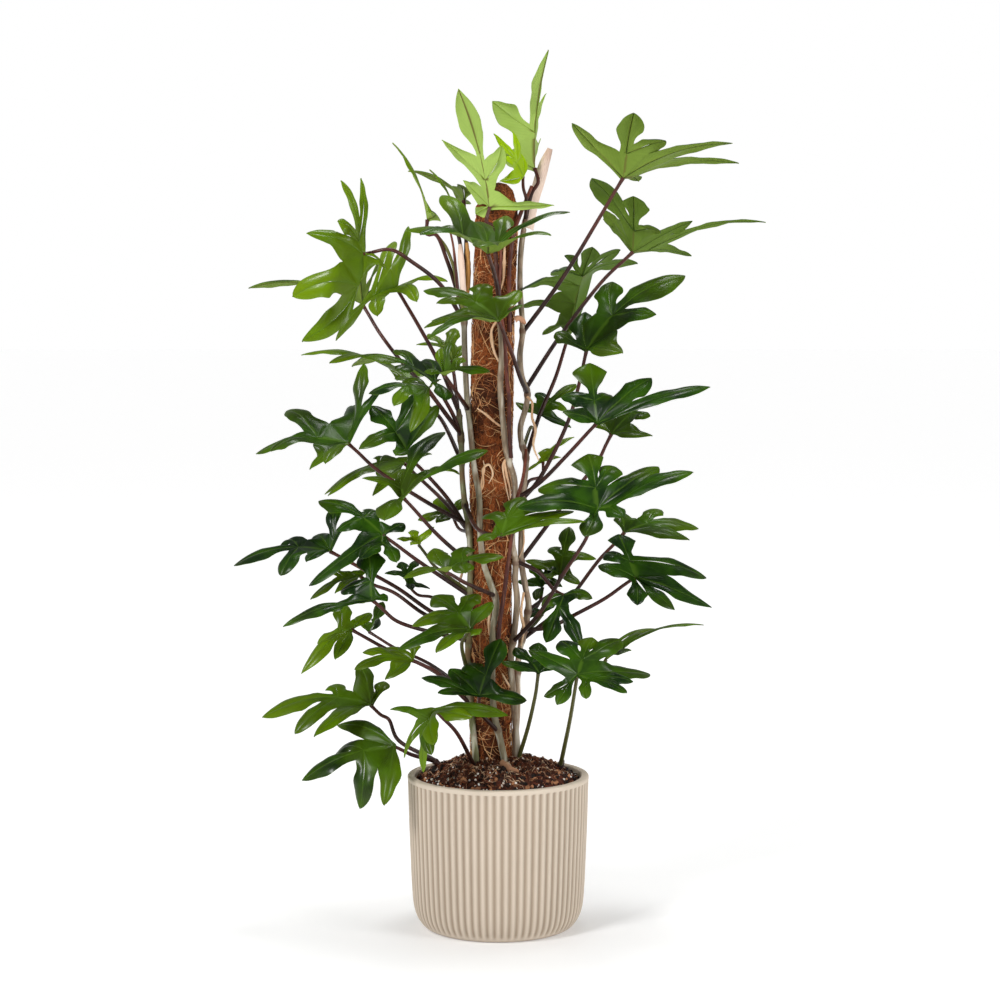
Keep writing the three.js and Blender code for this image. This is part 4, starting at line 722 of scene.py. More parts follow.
def spreadLobes(middle, tips, end, up, reach):
    # lobes that lie too near one another move along their lines of sight
    start = [tip[1] for tip in tips]
    toEnd = level(placeOf(tips[end]) - middle, up)
    last = len(tips) - 1

    def turnOf(tip, i):   # turn from the end lobe, past half a turn where the row runs that far
        turn = lobeTurn(toEnd, placeOf(tip) - middle, up)
        if i < end and turn > math.pi / 2:
            return turn - fullTurn
        return turn + fullTurn if i > end and turn < -math.pi / 2 else turn

    def push(i, amount):   # a tip moves in depth by the amount of turn over the turn for each millimetre
        tip = tips[i]
        change = turnOf([tip[0], tip[1] + 1, tip[2]], i) - turnOf(tip, i)
        if i == end or abs(change) < 0.0005:
            return
        step = np.clip(spread["push"] * amount / change, -spread["step"], spread["step"])
        tip[1] = float(np.clip(tip[1] + step, start[i] - reach, start[i] + reach))

    for _ in range(spread["rounds"]):
        turns = [turnOf(tip, i) for i, tip in enumerate(tips)]
        for i in range(last):
            missing = spread["apart"] - (turns[i + 1] - turns[i])
            if missing > 0:
                push(i, -missing)
                push(i + 1, missing)
        behind = turns[0] + fullTurn - turns[last]
        if behind < spread["behind"]:
            push(0, spread["behind"] - behind)
            push(last, behind - spread["behind"])


def leafPlaces(leaf):
    # joint, lobe tips in order, number of the end lobe, way of the upper face, and the tips' numbers
    depth = leaf.joint[1] * spread["joints"]
    middle = seen(leaf.joint[0], leaf.joint[2], depth)
    tips = [[x, depth + out, z, number] for number, (x, out, z) in enumerate(leaf.tips)]
    endTip = tips[leaf.end]
    if upOf(middle, tips)[2] < 0:
        tips.reverse()
    up = upOf(middle, tips)
    toEnd = level(placeOf(endTip) - middle, up)
    tips.sort(key=lambda tip: 0 if tip is endTip else lobeTurn(toEnd, placeOf(tip) - middle, up))
    order = [tip[3] for tip in tips]
    end = order.index(leaf.end)
    spreadLobes(middle, tips, end, up, spread["reach"] * leaf.size)
    return middle, np.array([placeOf(tip) for tip in tips]), end, upOf(middle, tips), order


def planDistance(place, start, finish, up):   # from places to the line between two others, seen from above
    along, away = level(finish - start, up), level(place - start, up)
    share = np.clip(away @ along / (along @ along), 0, 1)
    return np.linalg.norm(away - share[:, None] * along, axis=1)


def bezier(root, control, tip, t):   # (1 - t)^2 root + 2 t (1 - t) control + t^2 tip
    t = np.asarray(t, float)[:, None]
    return (1 - t) ** 2 * root + 2 * t * (1 - t) * control + t * t * tip


Lobe = namedtuple("Lobe", "root control tip halves full lifted form tone")


def halfLobe(lobe, side, notch, neighbour, middle, up, size, sideRib, seed):
    # place(t, v) = rib(t) + v (margin(t) - rib(t)) + normal * (groove, fold and wave); the margin runs from
    # the root straight to the notch, and then at width t^rise (1 - t)^fall from the rib to the tip, with a
    # shoulder on some sides
    rng = np.random.default_rng(seed)
    root, tip, (rise, fall) = lobe.root, lobe.tip, lobe.form
    length = np.linalg.norm(tip - root)
    notchAt = float(np.clip((notch - root) @ (tip - root) / length**2, *blade["notchShares"]))
    near = notchAt * np.arange(blade["rootRows"]) / blade["rootRows"]
    far = notchAt + (1 - notchAt) * (1 - (1 - np.linspace(0, 1, blade["rows"])) ** blade["rowPower"])
    t = np.append(near, far)
    column = t[:, None]
    rib = bezier(*lobe[:3], t)
    way = unit(2 * (1 - column) * (lobe.control - root) + 2 * column * (tip - lobe.control))
    flatter = blade["level"] * ease((column - notchAt) / 0.5) * np.array([0, 0, 1])   # lobes lie more level
    left = unit(np.cross(unit(up + flatter), way))
    normal = np.cross(way, left)

    most = rise / (rise + fall)
    width = (t / most) ** rise * ((1 - t) / (1 - most)) ** fall
    shoulder = rng.choice(blade["shoulders"])
    width = width * (1 + shoulder * bell(t, 0.56, 0.09) - 0.6 * shoulder * bell(t, 0.76, 0.07))
    width = lobe.halves[(side + 1) // 2] * width * (1 if lobe.full else rng.uniform(blade["leastWidth"], 1))
    for start in (neighbour.root, middle):
        width = np.minimum(width, blade["share"] * planDistance(rib, start, neighbour.tip, up))
    blend = ease((column - notchAt) / 0.3)
    margin = rib + side * left * width[:, None] * blend
    margin = margin + (notch - bezier(*lobe[:3], [notchAt])[0]) * (1 - blend)
    early = t < notchAt
    margin[early] = root + (notch - root) * (column[early] / notchAt)

    v = np.array(blade["across"])[None, :]
    grow = ease((column - notchAt) / 0.35)
    local = np.linalg.norm(margin - rib, axis=1)[:, None]
    (one, longer), (other, shorter) = blade["waves"]
    wave = one * np.sin(fullTurn * (column * length / longer + 0.13 * v + rng.random()))
    wave = wave + other * np.sin(fullTurn * (column * length / shorter + rng.random()))
    bulge = blade["bulge"] * local * np.sin(math.pi * v) * (0.4 + 0.6 * grow)
    lift = -blade["cup"] * local * v**2 * grow + bulge
    lift = lift + blade["wave"] * size * wave * v**2 * grow * (1 - column**4)
    lift = lift - blade["groove"] * (1 - ease(v / 0.2)) * ease(column / 0.08) + lobe.lifted * grow
    place = rib[:, None] + (margin - rib)[:, None] * v[..., None] + normal[:, None] * lift[..., None]
    vein = column * length - 1.9 * local * v
    edge = v * (0.5 + 0.5 * ease((column - notchAt) / 0.15))
    if not lobe.full:
        edge = np.maximum(edge, sideRib * ease(column / 0.12))
    tone = np.broadcast_to(lobe.tone * grow + blade["tipTone"] * column**2, edge.shape)
    faces = gridFaces(*edge.shape)
    return place.reshape(-1, 3), faces[:, ::-side], vein.ravel() / 1000, edge.ravel(), tone.ravel()


def webPatch(rim, notch):   # between two ribs: place(k, j) = rim(j) + k (notch - rim(j))
    k = np.linspace(0, 1, blade["rootRows"] + 1)[:, None]
    place = rim[None] + k[..., None] * (notch - rim)[None]
    edge = np.broadcast_to(0.5 * k, place.shape[:2]).ravel()
    return place.reshape(-1, 3), gridFaces(len(k), len(rim))[:, ::-1], 0 * edge, edge, 0 * edge


def bladeSurface(leaf, seed):
    # two half lobes on each rib, and a web between neighbouring ribs, all in one surface
    middle, tips, end, up, order = leafPlaces(leaf)
    last, size = len(tips) - 1, leaf.size
    rng = np.random.default_rng(seed)

    def controlOf(root, tip, way=0):   # the rib is arched, and the side lobes bend towards the end lobe
        side = unit(np.cross(up, tip - root))
        length = np.linalg.norm(tip - root)
        bend = way * blade["sickle"] + rng.uniform(-1, 1) * blade["sweep"]
        sag = blade["droop"] * np.linalg.norm((tip - root)[:2])
        return (root + tip) / 2 + up * blade["arch"] * length + side * length * bend + np.array([0, 0, sag])

    endRoot, starts, sinus = lobeRoots.get(leaf.name, usualRoots)
    control = controlOf(middle, tips[end], ribBends.get(leaf.name, 0))
    spine = bezier(middle, control, tips[end], np.linspace(0, endRoot, blade["spinePoints"] + 1))

    def basalRoot(some):   # where the rib that these tips share parts into theirs
        away = some - middle
        nearest = np.linalg.norm(level(away, up), axis=1).min()
        reach = min(blade["baseRib"] * size, blade["baseShare"] * nearest)
        return middle + unit(unit(away).sum(axis=0)) * reach

    far = len(starts)   # lobes from this many steps on start from a rib of their own
    firstBase = basalRoot(tips[:end - far + 1]) if end >= far else middle
    lastBase = basalRoot(tips[end + far:]) if last - end >= far else middle
    twoSided = 0 < end < last
    lobes = []
    startOf = []
    for i, tip in enumerate(tips):
        steps = abs(i - end)
        start = starts[steps] if steps < far and twoSided and not (steps == 1 and i in (0, last)) else 0
        root = spine[start]
        if steps >= far:
            root = firstBase if i < end else lastBase
            start = None
        startOf.append(start)
        if steps:
            bend = controlOf(root, tip, np.sign(i - end))
            form = (rng.uniform(*blade["rises"]), rng.uniform(*blade["falls"]))
        else:   # the rest of the rib that starts at the joint
            bend = (1 - endRoot) * control + endRoot * tip if twoSided else control
            form = blade["endForm"]
        if leaf.name in youngLeaves:
            form = blade["youngForm"]
        if leaf.name in spears:
            form = blade["spearForm"]
        half = blade["widths"][min(steps, 5)] * size * leaf.width
        halves = np.array(lobeSides.get((leaf.name, order[i]), (1, 1))) * half
        lobes.append(Lobe(root, bend, tip, halves, not steps, (steps % 2) * blade["stack"] * size, form,
            rng.uniform(-1, 1) * blade["lobeTone"]))

    def notchOf(*pair):   # lobes at a small angle part further out
        lengths = [np.linalg.norm(lobe.tip - lobe.root) for lobe in pair]
        ways = [unit(lobe.tip - lobe.root) for lobe in pair]
        near = ease(1.6 - 2 * math.acos(np.clip(ways[0] @ ways[1], -1, 1)))
        reach = (sinus + blade["fused"] * near) * min(lengths) + 0.02 * size
        ends = [bezier(*lobe[:3], [reach / length])[0] for lobe, length in zip(pair, lengths)]
        return (ends[0] + ends[1]) / 2

    toEnd = unit(level(tips[end] - middle, up))
    low, high = (lobeTurn(toEnd, tip - middle, up) for tip in (tips[0], tips[last]))
    turn = ((low - fullTurn if low > high else low) + high) / 2 + math.pi
    backward = toEnd * math.cos(turn) + np.cross(up, toEnd) * math.sin(turn)
    stalkNotch = middle + backward * blade["stalkNotch"] * size
    notches = [stalkNotch, *(notchOf(*pair) for pair in zip(lobes, lobes[1:])), stalkNotch]

    sideRib = blade["youngRib" if leaf.name in youngLeaves else "sideRib"]
    parts = []
    for i, lobe in enumerate(lobes):
        sides = ((-1, notches[i], lobes[i - 1]), (1, notches[i + 1], lobes[(i + 1) % len(lobes)]))
        for side, notch, other in sides:
            seedOf = seed * 100 + i * 2 + side
            parts.append(halfLobe(lobe, side, notch, other, middle, up, size, sideRib, seedOf))
    ring = [(middle, 0), *((lobe.root, start) for lobe, start in zip(lobes, startOf)), (middle, 0)]
    for (one, first), (other, second), notch in zip(ring, ring[1:], notches):
        if np.allclose(one, other):
            continue
        if first is None or second is None:   # a rib of its own is reached straight from the joint
            rim = np.linspace(one, other, blade["spinePoints"])
        else:
            rim = spine[first:second + 1] if first < second else spine[second:first + 1][::-1]
        parts.append(webPatch(rim, notch))
    return joined(parts)


def faceNormals(place, faces):   # cross product of two sides of each face
    return np.cross(place[faces[:, 1]] - place[faces[:, 0]], place[faces[:, 2]] - place[faces[:, 0]])


def thicken(place, faces, vein, edge, tone):
    # equal places are made one; the lower face lies under the upper one along its normals, and the blade is
    # thicker at the ribs
    _, first, same = np.unique(np.round(place, 3), axis=0, return_index=True, return_inverse=True)
    place, vein, edge, tone, faces = place[first], vein[first], edge[first], tone[first], same.ravel()[faces]
    a, b, c = faces.T
    faces = faces[(a != b) & (b != c) & (a != c)]
    faces = faces[np.linalg.norm(faceNormals(place, faces), axis=1) > 1e-4]
    flat = faceNormals(place, faces)
    normals = np.zeros_like(place)
    for k in range(3):
        np.add.at(normals, faces[:, k], flat)
    thick = blade["rim"] + (blade["thickness"] - blade["rim"]) * (1 - edge)
    thick = thick + blade["midrib"] * bell(edge, 0, 0.08)
    count = len(place)
    edges = np.vstack([faces[:, [0, 1]], faces[:, [1, 2]], faces[:, [2, 0]]])
    key = np.sort(edges, axis=1)
    _, at, times = np.unique(key[:, 0] * count + key[:, 1], return_index=True, return_counts=True)
    a, b = edges[at[times == 1]].T
    rim = np.vstack([np.column_stack([b, a, a + count]), np.column_stack([b, a + count, b + count])])
    kinds = np.repeat([0, 1, 0], [len(faces), len(faces), len(rim)])
    values = {"vein": np.tile(vein, 2), "edge": np.tile(edge, 2), "tone": np.tile(tone, 2)}
    lower = place - unit(normals) * thick[:, None]
    return np.vstack([place, lower]), np.vstack([faces, faces[:, ::-1] + count, rim]), values, kinds


def makeLeaves():   # leaf by leaf, with the number in the table as its seed
    finishes = [leafPaint("leaf_upper", True), leafPaint("leaf_under", False)]
    for number, leaf in enumerate(leaves):
        place, faces, values, kinds = thicken(*bladeSurface(leaf, number + 1))
        values["tone"] = values["tone"] + leaf.tone
        node = "leaf_" + leaf.name if leaf.size > smallest else "stem_" + leaf.stem
        slot = "young_leaf" if leaf.name in youngLeaves and leaf.size > smallest else "leaf"
        addPiece(node, slot, "leaf_" + leaf.name + "_blade", place, faces, finishes, values, kinds)


# Stems, stalks and roots: tubes along smooth paths. Places are x and z against the pole, or x, depth and z

stem = {
    "radius": 5, "endRadius": 4, "rootDepth": 70, "apart": 8, "sides": 14, "step": 2.5, "leastRings": 24,
    "swell": 0.32, "knot": 5, "overTop": 30, "ripple": 0.05, "blunt": (0.985, 0.7),
    "tint": 0.6, "darkTint": 2.2, "darkFrom": 890, "darkOver": 30,   # of the second colour
}
stalk = {
    "radius": 2.5, "footRadius": 3.4, "neck": 20, "drop": 10, "sides": 10, "rings": 46, "fromAbove": 0.35,
    "joint": 0.9, "flare": 0.25, "smallLeaf": 75, "smallShare": 0.86, "bareRings": 60, "bareRipple": 0.06,
}
root = {
    "tan": 4, "sides": 8, "ringsPerPoint": 12, "ripple": 0.12,   # roots at least as thick as "tan" are tan
    "at": [0, 0.2, 0.5, 0.8, 1], "taper": [1, 0.8, 1.1, 0.8, 0.45], "tanTaper": [1, 1, 1, 0.9, 0.6],
}
stems = {   # side of the pole (-1 for the front, 0 for a stem away from the pole) and places
    "left": (-1, [[12, 228], [4, 275], [-6, 320], [-9, 400], [-7, 450], [-3, 485], [-12, 515], [-22, 545],
        [-27, 590], [-28, 640], [-36, 690], [-41, 740], [-46, 790], [-49, 850], [-50, 905], [-50, 955]]),
    "front": (-1, [[30, 232], [24, 330], [19, 400], [25, 450], [28, 490], [25, 520], [26, 546], [21, 575],
        [24, 625], [24, 667], [17, 692], [11, 715], [8, 746], [5, 775], [3, 808], [5, 850], [3, 900],
        [0, 950], [-4, 1000]]),
    "right": (1, [[22, 236], [28, 320], [30, 400], [40, 450], [45, 482], [40, 510], [34, 550], [35, 600],
        [37, 650], [41, 700], [34, 724], [33, 746], [41, 775], [43, 795], [35, 820], [32, 850], [36, 887],
        [32, 950], [34, 1010], [40, 1050]]),
    "back": (-1, [[-32, 232], [-38, 300], [-43, 350], [-45, 400], [-43, 450], [-42, 500], [-41, 545],
        [-43, 590], [-49, 630], [-53, 670], [-54, 710], [-56, 745], [-58, 772]]),
    "low_left": (0, [[-78, 222], [-88, 240], [-96, 249]]),
    "low_right": (0, [[84, 222], [92, 238], [96, 250]]),
}
roots = [   # stem, radius and places
    ("front", 2.4, [[2, 905], [-9, 890], [-9, 870], [-4, 852], [4, 838]]),
    ("front", 1.8, [[8, 744], [-4, 752], [-18, 764], [-31, 773]]),
    ("left", 1.8, [[-29, 646], [-22, 660], [-22, 684], [-14, 690], [-8, 676], [-14, 662]]),
    ("front", 2, [[20, 690], [15, 695], [10, 695], [12, 676], [17, 655], [18, 640]]),
    ("front", 1.6, [[22, 352], [13, 366], [6, 379]]),
    ("left", 2, [[-4, 486], [-12, 470], [-14, 452], [-13, 436]]),
    ("left", 4, [[-50, 926], [-45, 950], [-44, 985], [-46, 1016]]),
    ("front", 2.4, [[1, 944], [7, 962], [9, 990], [9, 1024]]),
    ("left", 1.6, [[-29, 612], [-27, 640], [-24, 668], [-20, 684], [-22, 696]]),
    ("front", 1.5, [[24, 628], [20, 660], [15, 684], [11, 697], [7, 690], [11, 660], [17, 632]]),
    ("left", 2.2, [[-3, 486], [-8, 460], [-11, 440], [-9, 425]]),
    ("right", 2.2, [[38, 500], [34, 470], [38, 445], [34, 420]]),
    ("back", 1.8, [[-44, 560], [-50, 540], [-56, 520], [-60, 505]]),
    ("left", 1.5, [[-8, 330], [-14, 350], [-22, 372], [-31, 392]]),
    ("right", 2, [[43, -6, 790], [50, -12, 782], [50, -12, 760], [55, -10, 742], [52, -8, 718],
        [60, -6, 696]]),
    ("right", 1.4, [[35, 0, 602], [38, 2, 585], [37, 4, 568], [31, 2, 552]]),
]
bareStalks = [   # leaf bases on the pole: radius at each end, whether olive, and places
    (3.8, 2.6, 0, [[17, -34, 885], [16, -33, 930], [17, -32, 985], [23, -27, 1030], [36, -10, 1066],
        [49, 6, 1098]]),
    (2.6, 1.8, 0, [[6, -41, 912], [2, -41, 950], [4, -42, 990], [3, -44, 1030]]),
    (2.8, 1.4, 0, [[-58, -20, 930], [-62, -16, 975], [-66, -10, 1012], [-72, -6, 1040]]),
    (3.2, 2.6, 0, [[19, -32, 700], [16, -38, 749], [16, -40, 787], [13, -43, 815], [11, -44, 852],
        [9, -44, 880], [4, -42, 915], [2, -38, 930]]),
    (3.4, 2.4, 0, [[0, -36, 431], [3, -42, 460], [9, -44, 500], [14, -44, 540], [19, -43, 575],
        [28, -38, 639], [36, -28, 667], [40, -14, 693], [41, -4, 712]]),
    (3.0, 2.2, 1, [[-47, -18, 905], [-58, -14, 940], [-64, -8, 975], [-76, 0, 1008], [-90, 4, 1028]]),
]
oliveStalks = {"l0", "l1", "l2", "c8", "m2", "r1", "k4"}   # leaves with olive stalks


def woodyPaint(name, low, high, mark, rough, gloss=0.0, streak=6, other=None, bandsAndSheen=0.0):
    # streaked along; other is the colour where that value is 1, and the last argument is how strongly the
    # bands show: pale streaks, partly painted sheen, dark streaks and brown patches
    paint = Paint(name, Specular_IOR_Level=0.25, Coat_Weight=gloss)
    cloud, grain = paint.noise(0.03, 3, 0.6), paint.noise(0.0035, 3, 0.6, (1, 1, 1 / streak))
    base = paint.mix(paint.between(cloud + paint.attribute("along") * 0.4 - 0.2, 0.35, 0.7), low, high)
    base = paint.mix(paint.between(grain, 0.5, 0.75) * 0.45, base, mark)
    if bandsAndSheen:
        band, patch = paint.noise(0.009, 3, 0.55, (1, 1, 0.12)), paint.noise(0.035, 3, 0.6)
        # pale streaks along the stem, partly painted sheen
        base = paint.mix(paint.between(band, 0.5, 0.66) * bandsAndSheen, base, (226, 220, 204))
        base = paint.mix(paint.between(band, 0.48, 0.34) * bandsAndSheen, base, (58, 50, 34))
        base = paint.mix(paint.between(patch, 0.52, 0.68) * bandsAndSheen, base, (112, 70, 48))
    if other:
        base = paint.mix(paint.attribute("other") * 0.85, base, other)
    base = paint.mix(paint.between(paint.attribute("node"), 0.15, 0.9) * 0.6, base, mark)
    return paint.finish(Base_Color=base, Roughness=paint.between(grain, 0.3, 0.7, rough - 0.06, rough + 0.1),
        Normal=paint.bump(grain, 0.0007, 0.6))


def againstPole(x, z, radius, side):   # depth of something that lies against the bark at x and z
    reach = pole["radius"] + pole["bark"] + 0.3 + radius
    return side * math.sqrt(max(reach * reach - (x - poleAxis(z)) ** 2, stem["apart"] ** 2))


def stemPoints(name):   # the stem's places, each at its depth against the pole, and a foot under the soil
    side, path = stems[name]
    above = [seen(x, z, againstPole(x, z, stem["radius"], side) if side else 0) for x, z in path]
    foot = above[0] * [1, 1, 0] + [0, 0, soil["edgeHeight"] - stem["rootDepth"]]
    return np.array([foot, *above])


def stalkPath(leaf):   # from the stem by way of the places read, then by a neck into the joint from behind
    spots = smoothPath(stemPoints(leaf.stem), 121)
    start = spots[np.argmin(abs(spots[:, 2] - leaf.height))]
    middle, _, _, up, _ = leafPlaces(leaf)
    flat = np.array([[start[0], start[2]], *leaf.via, [leaf.joint[0], leaf.joint[2]]], float)
    run = np.append(0, np.linalg.norm(np.diff(flat, axis=0), axis=1).cumsum())
    slope = (leaf.joint[1] * spread["joints"] - start[1]) / run[-1]
    points = [start, *(seen(x, z, start[1] + slope * at) for (x, z), at in zip(leaf.via, run[1:]))]
    back = unit(points[-1] - middle)
    face = up if back @ up > stalk["fromAbove"] else -up
    neck = middle + back * stalk["neck"]
    neck = neck + face * max(0, stalk["drop"] - face @ (neck - middle))
    return smoothPath([*points, neck, middle + face * stalk["joint"]], stalk["rings"])


def makeBark(name, finish, heights):   # radius from foot to end, swollen by a bell at each leaf
    line = stemPoints(name)
    path = smoothPath(line, max(stem["leastRings"], int((line[-1][2] - line[0][2]) / stem["step"])))
    share = np.linspace(0, 1, len(path))
    heights = np.array([height for height in heights if height < line[-1][2] + stem["overTop"]] + [0])
    knots = bell(path[:, 2:3], heights, stem["knot"]).max(axis=1)
    radius = (stem["radius"] + (stem["endRadius"] - stem["radius"]) * share) * (1 + stem["swell"] * knots)
    end, endShare = stem["blunt"]
    radius = radius * (1 + stem["ripple"] * ripple(path, 40, 5)) * np.where(share > end, endShare, 1)
    place, faces, along = closedTube(path, radius, stem["sides"])
    tint = stem["tint"] * along
    if name == "front":   # this one turns dark higher up
        tint = stem["darkTint"] * ease((place[:, 2] - stem["darkFrom"]) / stem["darkOver"])
    knots = np.append(np.repeat(knots, stem["sides"]), [0, 0])
    addPiece("stem_" + name, "stem", "stem_" + name + "_bark", place, faces, [finish],
        {"along": tint, "node": knots})


def addTubes(node, name, finish, tubes):   # a tube is its path, radii, sides and share of the other colour
    parts = []
    for path, radius, sides, other in tubes:
        place, faces, along = closedTube(path, radius, sides)
        parts.append((place, faces, along, np.full(len(along), float(other))))
    place, faces, along, other = joined(parts)
    addPiece(node, "stem", name, place, faces, [finish], {"along": along, "other": other})


def stalkTube(leaf):   # radius from foot to joint, with a bell at the joint
    at = np.linspace(0, 1, stalk["rings"])
    radius = stalk["footRadius"] + (stalk["radius"] - stalk["footRadius"]) * at
    radius = radius * (1 + stalk["flare"] * bell(at, 1, 0.03))
    radius = radius * (stalk["smallShare"] if leaf.size <= stalk["smallLeaf"] else 1)
    return stalkPath(leaf), radius, stalk["sides"], leaf.name in oliveStalks


def rootTube(radius, points):   # radius times the taper, with ripples
    tan = radius >= root["tan"]
    line = [seen(p[0], p[-1], againstPole(*p, radius, -1) if len(p) == 2 else p[1]) for p in points]
    path = smoothPath(line, root["ringsPerPoint"] * len(points))
    taper = root["tanTaper" if tan else "taper"]
    radius = radius * np.interp(np.linspace(0, 1, len(path)), root["at"], taper)
    return path, radius * (1 + root["ripple"] * ripple(path, 9, 3)), root["sides"], tan


def bareTube(first, last, olive, points):   # radius from first to last, with ripples
    path = smoothPath(seenPath(points), stalk["bareRings"])
    radius = np.linspace(first, last, stalk["bareRings"]) * (1 + stalk["bareRipple"] * ripple(path, 30, 9))
    return path, radius, stalk["sides"], olive


def makeStems():   # bark, stalks and roots of each stem, and then the bare stalks
    barks = {
        "left": woodyPaint("stem_grey_green", (126, 117, 94), (166, 160, 140), (100, 74, 54), 0.5,
            bandsAndSheen=0.55),
        "front": woodyPaint("stem_mixed", (150, 132, 110), (84, 44, 36), (92, 58, 44), 0.46, bandsAndSheen=0.5),
        "right": woodyPaint("stem_grey", (172, 152, 130), (114, 104, 80), (100, 62, 46), 0.5, bandsAndSheen=0.55),
        "back": woodyPaint("stem_olive", (104, 106, 70), (128, 128, 94), (88, 62, 42), 0.5, bandsAndSheen=0.5),
    }
    stalks = woodyPaint("stalk_dark", (40, 18, 12), (76, 37, 29), (22, 10, 7), 0.38,
        gloss=0.06, streak=14, other=(78, 80, 38))
    threads = woodyPaint("root_pale", (206, 164, 126), (226, 190, 154), (160, 112, 78), 0.6,
        other=(176, 122, 48))
    for name in stems:
        node = "stem_" + name
        own = [leaf for leaf in leaves if leaf.stem == name]
        makeBark(name, barks.get(name, stalks), [leaf.height for leaf in own])
        addTubes(node, node + "_stalks", stalks, [stalkTube(leaf) for leaf in own])
        tubes = [rootTube(radius, points) for owner, radius, points in roots if owner == name]
        if tubes:
            addTubes(node, node + "_roots", threads, tubes)
    bare = woodyPaint("bare_stalk", (62, 26, 20), (104, 52, 38), (140, 88, 64), 0.38,
        gloss=0.05, streak=10, other=(104, 108, 52))
    addTubes("stem_right", "bare_stalks", bare, [bareTube(*row) for row in bareStalks])


# Dry sheaths and torn brown bits of leaf: curled sheets

sheath = {"rows": 60, "columns": 17, "turn": 1.1, "thick": 0.5, "taper": 0.62, "tear": 0.06, "curl": 0.25}
sheets = [   # node, piece, half width, and places (x, depth, z)
    ("sheath_top", "sheath_top_paper", 11,
        [[42, 10, 1036], [52, 24, 1078], [60, 28, 1105], [68, 28, 1132], [76, 26, 1153]]),
    ("sheath_side", "sheath_side_paper", 6,
        [[-51, -12, 930], [-52, -17, 955], [-54, -18, 985], [-56, -16, 1014]]),
    ("soil", "soil_scrap", 6, [[4, -44, 245], [12, -56, 239], [21, -68, 233], [31, -77, 231]]),
    ("stem_right", "stem_right_scrap", 5, [[24, -26, 903], [29, -24, 906], [35, -20, 903], [40, -16, 897]]),
]


def sheathPaint(name, pale, deep):   # lines as the sine of the way across, browner at the tip
    paint = Paint(name, Specular_IOR_Level=0.3)
    cloud = paint.noise(0.02, 3, 0.6)
    lines = (paint.attribute("across") * 26 + cloud * 2).sum("SINE")
    base = paint.mix(cloud, pale, deep)
    base = paint.mix(paint.between(lines, 0.3, 1) * 0.22, base, (184, 132, 100))
    base = paint.mix(paint.between(paint.attribute("along"), 0.8, 1) * 0.4, base, (170, 116, 82))
    return paint.finish(Base_Color=base, Roughness=0.6 + cloud * 0.2, Normal=paint.bump(lines, 0.0004, 0.5))


def makeSheet(node, name, half, points, finish):
    # place(u, v) = path(u) + half * taper(u) * (sin turn(v) * side + (cos turn(v) - 0.6) * out), with waves
    rows, columns = sheath["rows"], sheath["columns"]
    path = smoothPath(seenPath(points), rows)
    way = unit(np.gradient(path, axis=0))
    out = unit(np.cross(way, np.cross([0, -1, 0], way)))
    side = unit(np.cross(way, out))
    u = np.linspace(0, 1, rows)[:, None]
    turn = np.linspace(-sheath["turn"], sheath["turn"], columns)[None, :]
    torn = 1 + sheath["tear"] * np.sin(9 * u * (1 + 0.2 * np.sin(3 * turn)))
    wide = (half * (1 - sheath["taper"] * u**3) * torn)[..., None]
    curl = (turn * (1 - sheath["curl"] * np.sin(6 * u)))[..., None]
    ring = wide * (np.sin(curl) * side[:, None] + (np.cos(curl) - 0.6) * out[:, None])
    outer, inner = path[:, None] + ring, path[:, None] + ring * (1 - sheath["thick"] / wide)
    number = np.arange(rows * columns).reshape(rows, columns)
    border = np.concatenate([number[0], number[1:, -1], number[-1, -2::-1], number[-2:0:-1, 0]])
    after, under = np.roll(border, -1), border + number.size
    rim = np.vstack([np.column_stack([after + number.size, after, border]),
        np.column_stack([under, after + number.size, border])])
    face = gridFaces(rows, columns)
    values = {"along": np.tile(np.repeat(u.ravel(), columns), 2), "across": np.tile(turn.ravel(), 2 * rows)}
    addPiece(node, "sheath", name, np.vstack([outer.reshape(-1, 3), inner.reshape(-1, 3)]),
        np.vstack([face, face[:, ::-1] + number.size, rim]), [finish], values)


def makeSheets():   # sheaths are pale and torn bits brown
    paper = sheathPaint("dry_sheath", (246, 226, 212), (234, 204, 184))
    brown = sheathPaint("dry_scrap", (222, 170, 136), (172, 116, 84))
    for node, name, half, points in sheets:
        makeSheet(node, name, half, points, paper if name.endswith("paper") else brown)


# Floor, lights and camera

floor = {"half": 60000, "cells": 6, "under": 0.4}
sky = {"From Min": 0.0, "From Max": 0.6, "To Min": 0.6, "To Max": 0.2}   # strength by how far up a way looks
lights = [   # name, place, target, size, power
    ("key", (-2.2, -2.6, 2.9), (0, 0, 0.75), (0.9, 0.9), 100),
    ("fill", (2.8, -2.0, 1.6), (0, 0, 0.7), (1.2, 1.2), 52),
    ("top", (0.2, 0.4, 3.4), (0, 0, 0.8), (0.9, 0.9), 44),
]
view = {"lens": 86.68, "sensor": 36, "far": 100, "place": (0.0027, -3.550, 0.9103), "down": 4.394}


def floorPaint():   # glows by the distance from the middle, so that it joins the backdrop, and glows less round the pot as a painted shadow
    paint = Paint("pale_floor", Specular_IOR_Level=0.2, Emission_Strength=1)
    away = paint.node("ShaderNodeVectorMath", {"operation": "LENGTH"}, {0: paint.place}, "Value")
    # painted shadow: the glow is dimmer within about a third of a metre of the middle, round the pot's foot
    near = paint.mix(paint.between(away, 0.08, 0.34), (128, 128, 129), (168, 168, 168))
    glow = paint.mix(paint.between(away, 0.4, 3.5), near, (226, 226, 226))
    base = paint.mix(paint.noise(1.5, 1), (232, 232, 232), (230, 230, 230))
    return paint.finish(Base_Color=base, Emission_Color=glow)


def makeFloor():   # a wide level grid just under the pot
    line = np.linspace(-floor["half"], floor["half"], floor["cells"] + 1)
    x, y = np.meshgrid(line, line)
    place = np.stack([x, y, 0 * x - floor["under"]], axis=-1).reshape(-1, 3)
    makePiece("floor", place, gridFaces(len(line), len(line)), [floorPaint()])


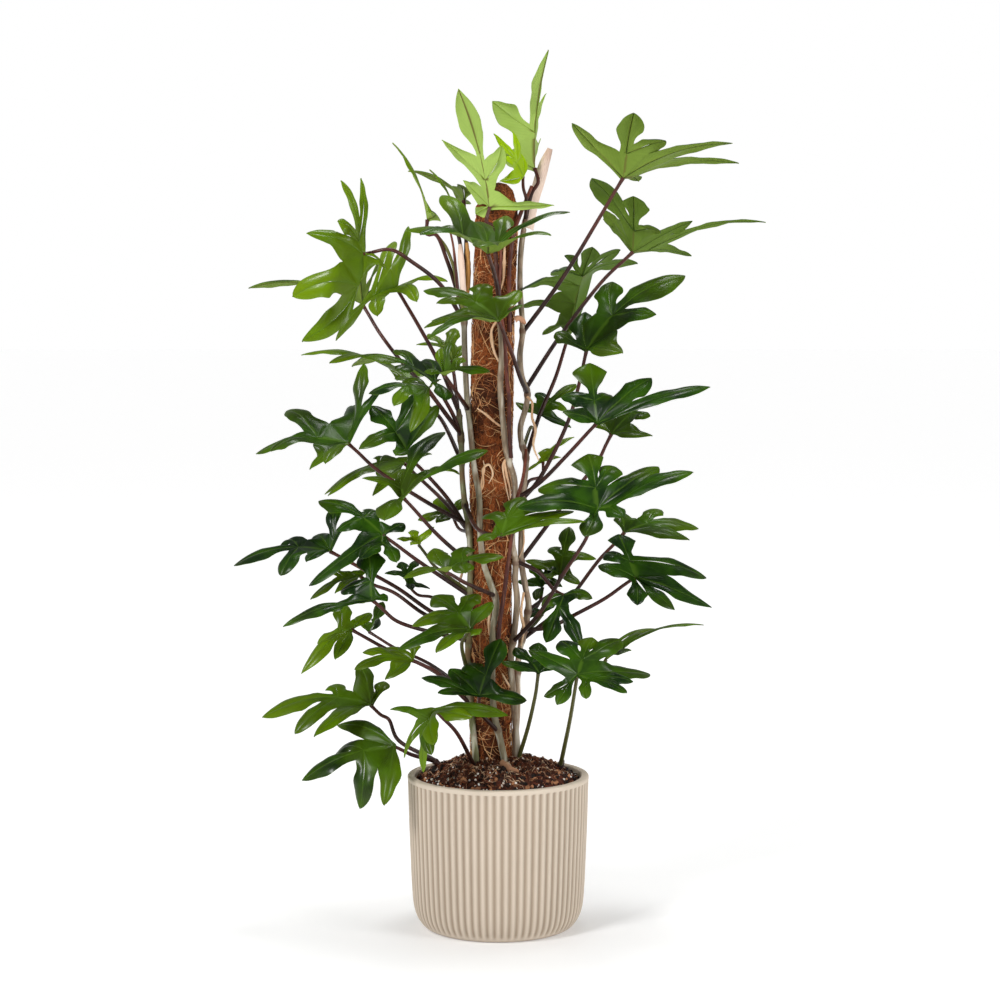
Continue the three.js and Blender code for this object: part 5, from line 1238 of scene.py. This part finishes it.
def makeSky():   # a white backdrop, which lights the plant less than it shows
    world = bpy.data.worlds.new("studio")
    bpy.context.scene.world = world
    world.use_nodes = True
    nodes = world.node_tree.nodes
    height = nodes.new("ShaderNodeSeparateXYZ")
    fade = nodes.new("ShaderNodeMapRange")
    shown = nodes.new("ShaderNodeMixShader")
    light, backdrop = nodes["Background"], nodes.new("ShaderNodeBackground")
    for key, value in sky.items():
        fade.inputs[key].default_value = value
    links = [
        (nodes.new("ShaderNodeTexCoord").outputs["Generated"], height.inputs[0]),
        (height.outputs[2], fade.inputs["Value"]),
        (fade.outputs[0], light.inputs["Strength"]),
        (nodes.new("ShaderNodeLightPath").outputs["Is Camera Ray"], shown.inputs[0]),
        (light.outputs[0], shown.inputs[1]),
        (backdrop.outputs[0], shown.inputs[2]),
        (shown.outputs[0], nodes["World Output"].inputs[0]),
    ]
    for first, second in links:
        world.node_tree.links.new(first, second)
    for board in (backdrop, light):
        board.inputs["Color"].default_value = (1, 1, 1, 1)


def addLight(name, place, target, size, power):   # a flat lamp that looks from its place to its target
    lamp = bpy.data.lights.new(name, "AREA")
    lamp.shape = "RECTANGLE"
    lamp.size, lamp.size_y = size
    lamp.energy = power
    holder = bpy.data.objects.new(name, lamp)
    holder.location = place
    x, y, z = np.array(target) - np.array(place)
    holder.rotation_euler = (math.atan2(math.hypot(x, y), -z), 0, math.atan2(y, x) - math.pi / 2)
    bpy.context.scene.collection.objects.link(holder)


def makeCamera():   # a lens a little above the pole's middle that looks slightly down
    lens = bpy.data.cameras.new("camera")
    lens.lens, lens.sensor_width, lens.clip_end = view["lens"], view["sensor"], view["far"]
    camera = bpy.data.objects.new("camera", lens)
    camera.location = view["place"]
    camera.rotation_euler = (math.radians(90 - view["down"]), 0, 0)
    bpy.context.scene.collection.objects.link(camera)
    bpy.context.scene.camera = camera
    bpy.context.scene.view_settings.view_transform = "Standard"


# The whole

makeLeaves()
print("leaves made:", len(leaves))
makeStems()
print("stems, stalks and roots made")
makeSheets()
print("sheaths made")
makePole()
print("pole made")
makeSoil()
print("soil made")
makePot()
print("pot made")
makeFloor()
makeSky()
for light in lights:
    addLight(*light)
makeCamera()
print("floor, lights and camera made")
